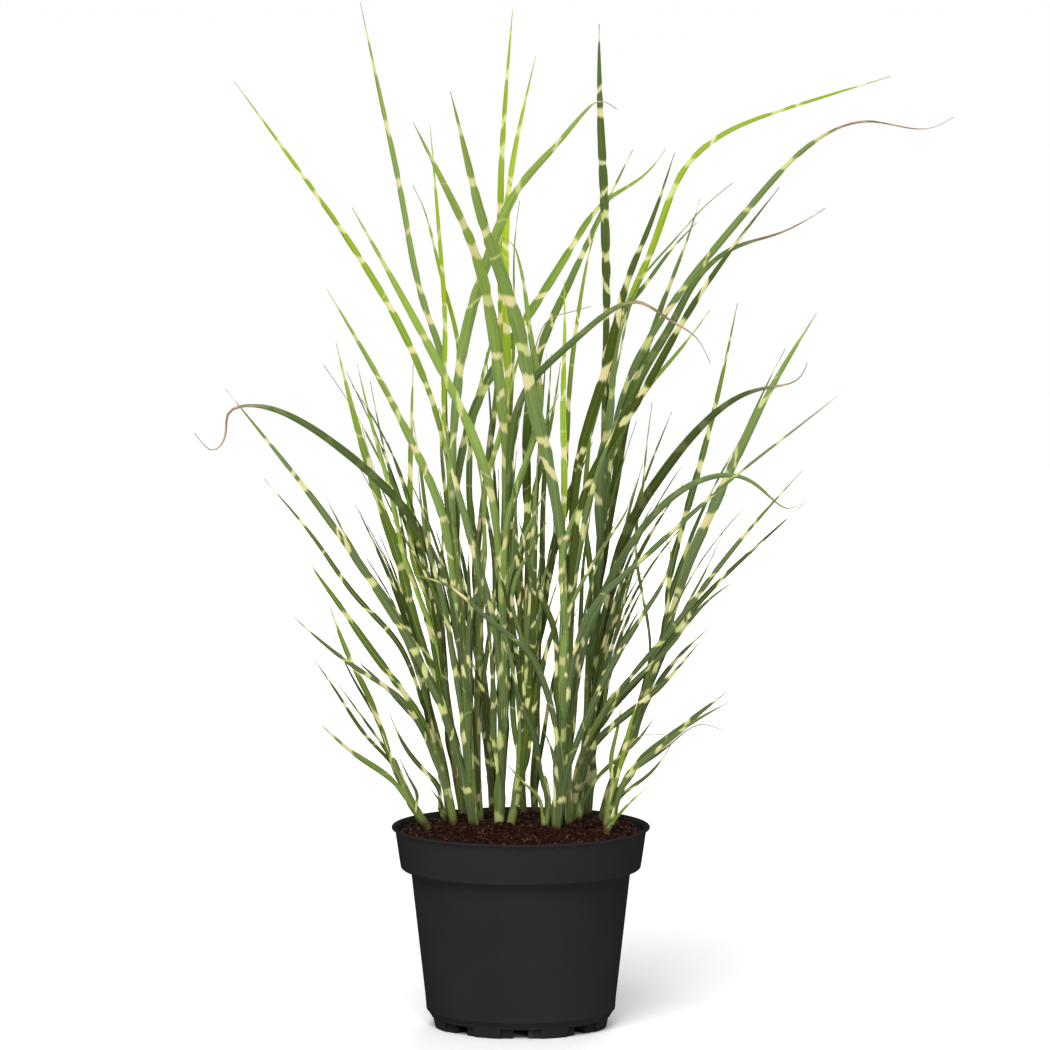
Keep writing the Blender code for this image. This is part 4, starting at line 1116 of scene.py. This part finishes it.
potShape = {
    "steps": 144,
    "notches": 8,
    "channel": (0.021, 0.0745, 0.011, 0.0062),  # inner radius, outer radius, width, height
    "recess": (0.0610, 0.0745, 0.030, 0.0075),
    "wall": ((0.0702, 0.0215), (0.0803, 0.1110)),  # outside of the body: lower and upper end
    "collar": ((0.0888, 0.1208), (0.0920, 0.1428)),
    "inner": ((0.0672, 0.0135), (0.0785, 0.1085)),
    "creases": 35,  # edges sharper than this stay crisp, in degrees
}


def arcPoints(centreX, centreZ, radius, first, last, steps):
    # points on an arc, with angles in degrees from +X towards +Z
    turns = np.radians(np.linspace(first, last, steps + 1))
    return [(centreX + radius * math.cos(a), centreZ + radius * math.sin(a)) for a in turns]


def stretch(ends, shares):
    # points on the straight line between two ends
    (startX, startZ), (endX, endZ) = ends
    return [(startX + (endX - startX) * share, startZ + (endZ - startZ) * share) for share in shares]


def potProfile():
    outside = [(0.0, 0.0), (0.030, 0.0), (0.0632, 0.0)]
    outside += arcPoints(0.0634, 0.0012, 0.0012, -80, 0, 4)
    outside += [(0.0660, 0.0078), (0.0668, 0.0092)]
    outside += arcPoints(0.0680, 0.0134, 0.0016, -60, 10, 4)
    outside += [(0.0699, 0.0180), (0.0702, 0.0215)]
    outside += stretch(potShape["wall"], np.linspace(0.1, 1, 10))
    outside += [(0.08055, 0.1131), (0.0810, 0.1142), (0.0822, 0.1150), (0.0850, 0.1164)]
    outside += arcPoints(0.0862, 0.1191, 0.0023, -58, 8, 5)
    outside += stretch(potShape["collar"], (0.1, 0.4, 0.7, 1.0))
    outside += [(0.0923, 0.1440), (0.0932, 0.1453), (0.0941, 0.1461)]
    outside += arcPoints(0.0941, 0.1471, 0.0009, -60, 90, 7)
    outside += [(0.0930, 0.1479), (0.0918, 0.1474), (0.0909, 0.1465)]
    inside = [(0.0904, 0.1455), (0.0897, 0.1405), (0.0871, 0.1212), (0.0864, 0.1196)]
    inside += [(0.0794, 0.1126), (0.0788, 0.1110)]
    inside += stretch(potShape["inner"], (1.0, 0.66, 0.33, 0.0))
    inside += [(0.0655, 0.0105), (0.0630, 0.0091), (0.030, 0.009), (0.0, 0.009)]
    return outside + inside


def cutterRing(name, inner, outer, width, height):
    form = bmesh.new()
    below = 0.002
    for index in range(potShape["notches"]):
        made = bmesh.ops.create_cube(form, size=1.0)["verts"]
        bmesh.ops.scale(form, vec=(outer - inner, width, height + below), verts=made)
        bmesh.ops.translate(form, vec=((inner + outer) / 2, 0.0, (height - below) / 2), verts=made)
        turn = index * 2 * math.pi / potShape["notches"] - math.pi / 2
        bmesh.ops.rotate(form, cent=(0, 0, 0), verts=made, matrix=Matrix.Rotation(turn, 3, "Z"))
    return fromForm(form, name)


def spinProfile(name, profile, steps):
    form = bmesh.new()
    verts = [form.verts.new((x, 0.0, z)) for x, z in profile]
    edges = [form.edges.new(pair) for pair in zip(verts, verts[1:])]
    bmesh.ops.spin(form, geom=verts + edges, cent=(0, 0, 0), axis=(0, 0, 1), angle=2 * math.pi, steps=steps,
                   use_merge=True)
    bmesh.ops.remove_doubles(form, verts=form.verts, dist=1e-6)
    bmesh.ops.recalc_face_normals(form, faces=form.faces)
    return fromForm(form, name)


def buildPot():
    rough = spinProfile("pot_blank", potProfile(), potShape["steps"])
    cutters = [cutterRing(kind + "_cutter", *potShape[kind]) for kind in ("channel", "recess")]
    for cutter in cutters:
        cut = rough.modifiers.new(cutter.name, "BOOLEAN")
        cut.operation, cut.solver, cut.object = "DIFFERENCE", "EXACT", cutter
    bpy.context.view_layer.update()
    pot = meshFrom(rough, "nursery_pot")
    for item in [rough] + cutters:
        dropItem(item)
    pot.data.shade_smooth()
    pot.data.set_sharp_from_angle(angle=math.radians(potShape["creases"]))
    return pot


potPaint = {
    "black": (0.0150, 0.0150, 0.0152),
    "worn": (0.0172, 0.0172, 0.0174),
    "flow": (0.020, 0.020, 0.0205),
    "dust": (0.07, 0.045, 0.03),
    "scuff": (0.06, 0.06, 0.06),
}


def makePotMaterial():
    material, tree, shader = newMaterial("blackPolypropylene", 0.5, 0.0)
    place = readPlace(tree)
    cloud = noiseAt(place, 14.0, 3.0)
    colour = blend(smooth(cloud, 0.3, 0.7), potPaint["black"], potPaint["worn"])
    east, north, height = axesOf(place)
    angle = calc("ARCTAN2", north, east)
    turnX, turnY = (calc(part, angle) * 22.0 for part in ("COSINE", "SINE"))
    flow = noiseAt(joined(turnX, turnY, height * 9.0), 1.0, 3.0)
    colour = blend(smooth(flow, 0.45, 0.75, 0.0, 0.1), colour, potPaint["flow"])
    dust = smooth(noiseAt(place, 160.0, 4.0), 0.62, 0.75)
    dust = dust * smooth(height, 0.135, 0.148)
    colour = blend(dust * 0.35, colour, potPaint["dust"])
    scuff = smooth(noiseAt(place, 60.0, 5.0), 0.6, 0.72)
    scuff = scuff * smooth(height, 0.016, 0.002)
    colour = blend(scuff * 0.4, colour, potPaint["scuff"])
    put(shader.inputs["Base Color"], colour)
    put(shader.inputs["Roughness"], smooth(flow, 0.3, 0.7, 0.44, 0.56))
    addBump(shader, noiseAt(place, 1700.0, 2.0), 0.15, 0.00004)
    return material


# ---- soil

soilShape = {
    "outer": 0.0892,
    "rings": 64,
    "steps": 200,
    "bottom": 0.125,
    "lumps": 0.0036,
    "heap": 0.0042,  # how much the middle stands above the plain mound
    "sunk": 0.0006,
    "calmEdge": 0.004,  # how far in from the pot the lumps are lower
    "crumbReach": 0.0855,
    "crumbs": 4200,
    "fibres": 520,
    "fibreThick": (0.00007, 0.00014),  # thinnest, and how much more the thickest has
    "fibreLength": 40.0,  # in thicknesses
    "crumbSmall": 0.0007,
    "crumbLarge": 0.0032,
    "seed": 7,
}


def buildSoil():
    form = bmesh.new()
    rows = []
    for ring in range(soilShape["rings"] + 1):
        radius = soilShape["outer"] * ring / soilShape["rings"]
        row = []
        for step in range(soilShape["steps"] if ring else 1):
            turn = step * 2 * math.pi / soilShape["steps"]
            x, y = radius * math.cos(turn), radius * math.sin(turn)
            rough = noise.fractal(Vector((x * 95, y * 95, 3.1)), 0.9, 2.1, 5)
            rough += 0.7 * noise.noise(Vector((x * 420, y * 420, 9.0)))
            calm = min(1.0, (soilShape["outer"] - radius) / soilShape["calmEdge"])
            mound = soilHeight(radius) - soilShape["sunk"]
            mound += soilShape["heap"] * (1 - (radius / soilShape["outer"]) ** 2)
            row.append(form.verts.new((x, y, mound + rough * soilShape["lumps"] * (0.3 + 0.7 * calm))))
        rows.append(row)
    edge, foot = rows[-1], []
    for vert in edge:
        foot.append(form.verts.new((vert.co.x * 0.985, vert.co.y * 0.985, soilShape["bottom"])))
    for step in range(soilShape["steps"]):
        after = (step + 1) % soilShape["steps"]
        form.faces.new((rows[0][0], rows[1][step], rows[1][after]))
        for inner, outer in zip(rows[1:], rows[2:]):
            form.faces.new((inner[step], outer[step], outer[after], inner[after]))
        form.faces.new((edge[step], foot[step], foot[after], edge[after]))
    form.faces.new(foot[::-1])
    soil = fromForm(form, "soil_mound")
    soil.data.shade_smooth()
    return soil


def crumbShape(tree):
    ball = addNode(tree, "GeometryNodeMeshIcoSphere", {"Subdivisions": 1, "Radius": 1.0})
    position = readPosition(tree)
    dent = noiseAt(position, 1.6, 1.0)
    dented = vec("SCALE", position, scale=dent * 1.1 + 0.35)
    return moveTo(Field(ball.outputs["Mesh"]), dented)


def fibreShape(tree):
    thread, across, side, height = addTube(tree, 5, 5)
    thin = 1.0 - height ** 2.0 * 2.6
    bow = calc("COSINE", height * 3.0) * 5.0
    return moveTo(thread, joined(height * soilShape["fibreLength"], side * thin + bow, across * thin))


def buildCrumbTree():
    tree, given = newTree("crumbsOnSoil", {
        "Count": "Int", "Small": "Float", "Large": "Float", "Seed": "Int", "Fibres": "Int",
        "Material": "Material"})
    normal = Field(tree.nodes.new("GeometryNodeInputNormal").outputs[0])
    upward = calc("GREATER_THAN", axesOf(normal)[2], 0.25)
    flat = vec("MULTIPLY", readPosition(tree), (1.0, 1.0, 0.0))
    upward = upward * calc("LESS_THAN", vec("LENGTH", flat), soilShape["crumbReach"])

    def scatter(count, seedStep):
        density = count / (math.pi * soilShape["outer"] ** 2)
        wanted = {"Mesh": given["Geometry"], "Selection": upward, "Density": density,
                  "Seed": given["Seed"] + seedStep}
        return Field(addNode(tree, "GeometryNodeDistributePointsOnFaces", wanted).outputs["Points"])

    def chance(low, high, step, kind="FLOAT_VECTOR"):
        node = addNode(tree, "FunctionNodeRandomValue", {"Seed": given["Seed"] + step}, data_type=kind)
        for socket, value in zip([socket for socket in node.inputs if socket.enabled], (low, high)):
            put(socket, value)
        return Field(next(socket for socket in node.outputs if socket.enabled))

    def placed(points, shape, turn, scale):
        wanted = {"Points": points, "Instance": shape, "Rotation": turn, "Scale": scale}
        return addNode(tree, "GeometryNodeInstanceOnPoints", wanted).outputs["Instances"]

    # many small crumbs and a few large ones, turned every way, and fibres that lie nearly flat
    spread = given["Large"] - given["Small"]
    size = given["Small"] + chance(0.0, 1.0, 1.0, "FLOAT") ** 2.6 * spread
    scale = vec("SCALE", chance((0.6, 0.6, 0.45), (1.3, 1.2, 0.9), 2.0), scale=size)
    turn = chance((0.0, 0.0, 0.0), (6.3, 6.3, 6.3), 3.0)
    crumbs = placed(scatter(given["Count"], 0.0), crumbShape(tree), turn, scale)
    thinnest, more = soilShape["fibreThick"]
    size = chance(0.0, 1.0, 15.0, "FLOAT") * more + thinnest
    turn = chance((-0.35, -0.35, 0.0), (0.35, 0.35, 6.3), 16.0)
    fibres = placed(scatter(given["Fibres"], 11.0), fibreShape(tree), turn, joined(size, size, size))
    gather = tree.nodes.new("GeometryNodeJoinGeometry")
    for part in (crumbs, fibres):
        tree.links.new(part, gather.inputs[0])
    endTree(Field(gather.outputs[0]), given["Material"])
    return tree


soilPaint = {"wet": (0.0035, 0.0009, 0.0005), "damp": (0.030, 0.0085, 0.0040), "clod": (0.095, 0.036, 0.018),
             "grit": (0.13, 0.075, 0.045)}


def makeSoilMaterial():
    material, tree, shader = newMaterial("dampPeat", 0.85, 0.06)
    place = readPlace(tree)
    fine = noiseAt(place, 520.0, 4.0, roughness=0.7)
    colour = blend(smooth(fine, 0.35, 0.68), soilPaint["wet"], soilPaint["damp"])
    clods = smooth(noiseAt(place, 260.0, 2.0), 0.58, 0.7, 0.0, 0.8)
    colour = blend(clods, colour, soilPaint["clod"])
    grit = smooth(noiseAt(place, 900.0, 1.0), 0.7, 0.78, 0.0, 0.6)
    colour = blend(grit, colour, soilPaint["grit"])
    put(shader.inputs["Base Color"], colour)
    put(shader.inputs["Roughness"], smooth(fine, 0.3, 0.7, 0.95, 0.7))
    addBump(shader, fine, 0.8, 0.0006)
    return material


# ---- making the pieces, putting them under the root and hiding the parts they stand for


def hand(piece, slotName, *nodes):
    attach(piece, "root")
    if nodes:
        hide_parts(*nodes)


def triangleCount(piece):
    piece.data.calc_loop_triangles()
    return len(piece.data.loop_triangles)


leafMaterial, stemMaterial = makeLeafMaterial(), makeStemMaterial()
bladeTree, stemTree = buildBladeTree(), buildStemTree()
print("materials and trees ready")

stemGuides = {name: prepareStem(name, stemTree, stemMaterial) for name in stemRoutes}
bladeGuides = {name: prepareBlade(name, *row, bladeTree, leafMaterial) for name, row in bladeRoutes.items()}
smallGuides = []
for number, (stem, height, width, tone, dryFrom, tipDepth, seen) in enumerate(smallBlades):
    route = seenToRoute(stem, height, tipDepth, seen)
    guide = prepareBlade("small_%d" % number, stem, height, None, width, tone, dryFrom, route,
                         bladeTree, leafMaterial)
    smallGuides.append((stem.split("_")[0], guide))
for number, (stem, height, width, tone, route, turn) in enumerate(fillerRows()):
    guide = prepareBlade("filler_%d" % number, stem, height, None, width, tone, 1.0, route,
                         bladeTree, leafMaterial, turn)
    smallGuides.append((stem.split("_")[0], guide))
bpy.context.view_layer.update()

for name, guide in stemGuides.items():
    hand(meshFrom(guide, "stem_" + name), "shoot", "shoot_" + name)
print("stems: %d" % len(stemGuides))
for name, guide in bladeGuides.items():
    hand(meshFrom(guide, "blade_" + name), "leaf", "leaf_" + name)
print("blades: %d" % len(bladeGuides))
for zone in ("left", "middle", "right", "back"):
    group = [meshFrom(guide, "small") for spot, guide in smallGuides if spot == zone]
    hand(joinPieces(group, "small_blades_" + zone), "leaf")
print("small blades: %d" % len(smallGuides))
for guide in [*stemGuides.values(), *bladeGuides.values(), *[guide for _, guide in smallGuides]]:
    dropItem(guide)

pot = buildPot()
pot.data.materials.clear()
pot.data.materials.append(makePotMaterial())
hand(pot, "pot_plastic", "pot")
print("pot: %d triangles" % triangleCount(pot))

soilMaterial = makeSoilMaterial()
soil = buildSoil()
soil.data.materials.append(soilMaterial)
scatterBase = soil.copy()
scatterBase.data = soil.data.copy()
bpy.context.scene.collection.objects.link(scatterBase)
attachTree(scatterBase, buildCrumbTree(), {
    "Count": soilShape["crumbs"], "Small": soilShape["crumbSmall"], "Large": soilShape["crumbLarge"],
    "Seed": soilShape["seed"], "Fibres": soilShape["fibres"], "Material": soilMaterial})
bpy.context.view_layer.update()
crumbs = meshFrom(scatterBase, "soil_crumbs")
dropItem(scatterBase)
hand(soil, "soil", "soil")
hand(crumbs, "soil")
print("soil: %d triangles, crumbs: %d" % (triangleCount(soil), triangleCount(crumbs)))

total = sum(triangleCount(item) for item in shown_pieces() if item.type == "MESH")
print("triangles in all: %d" % total)
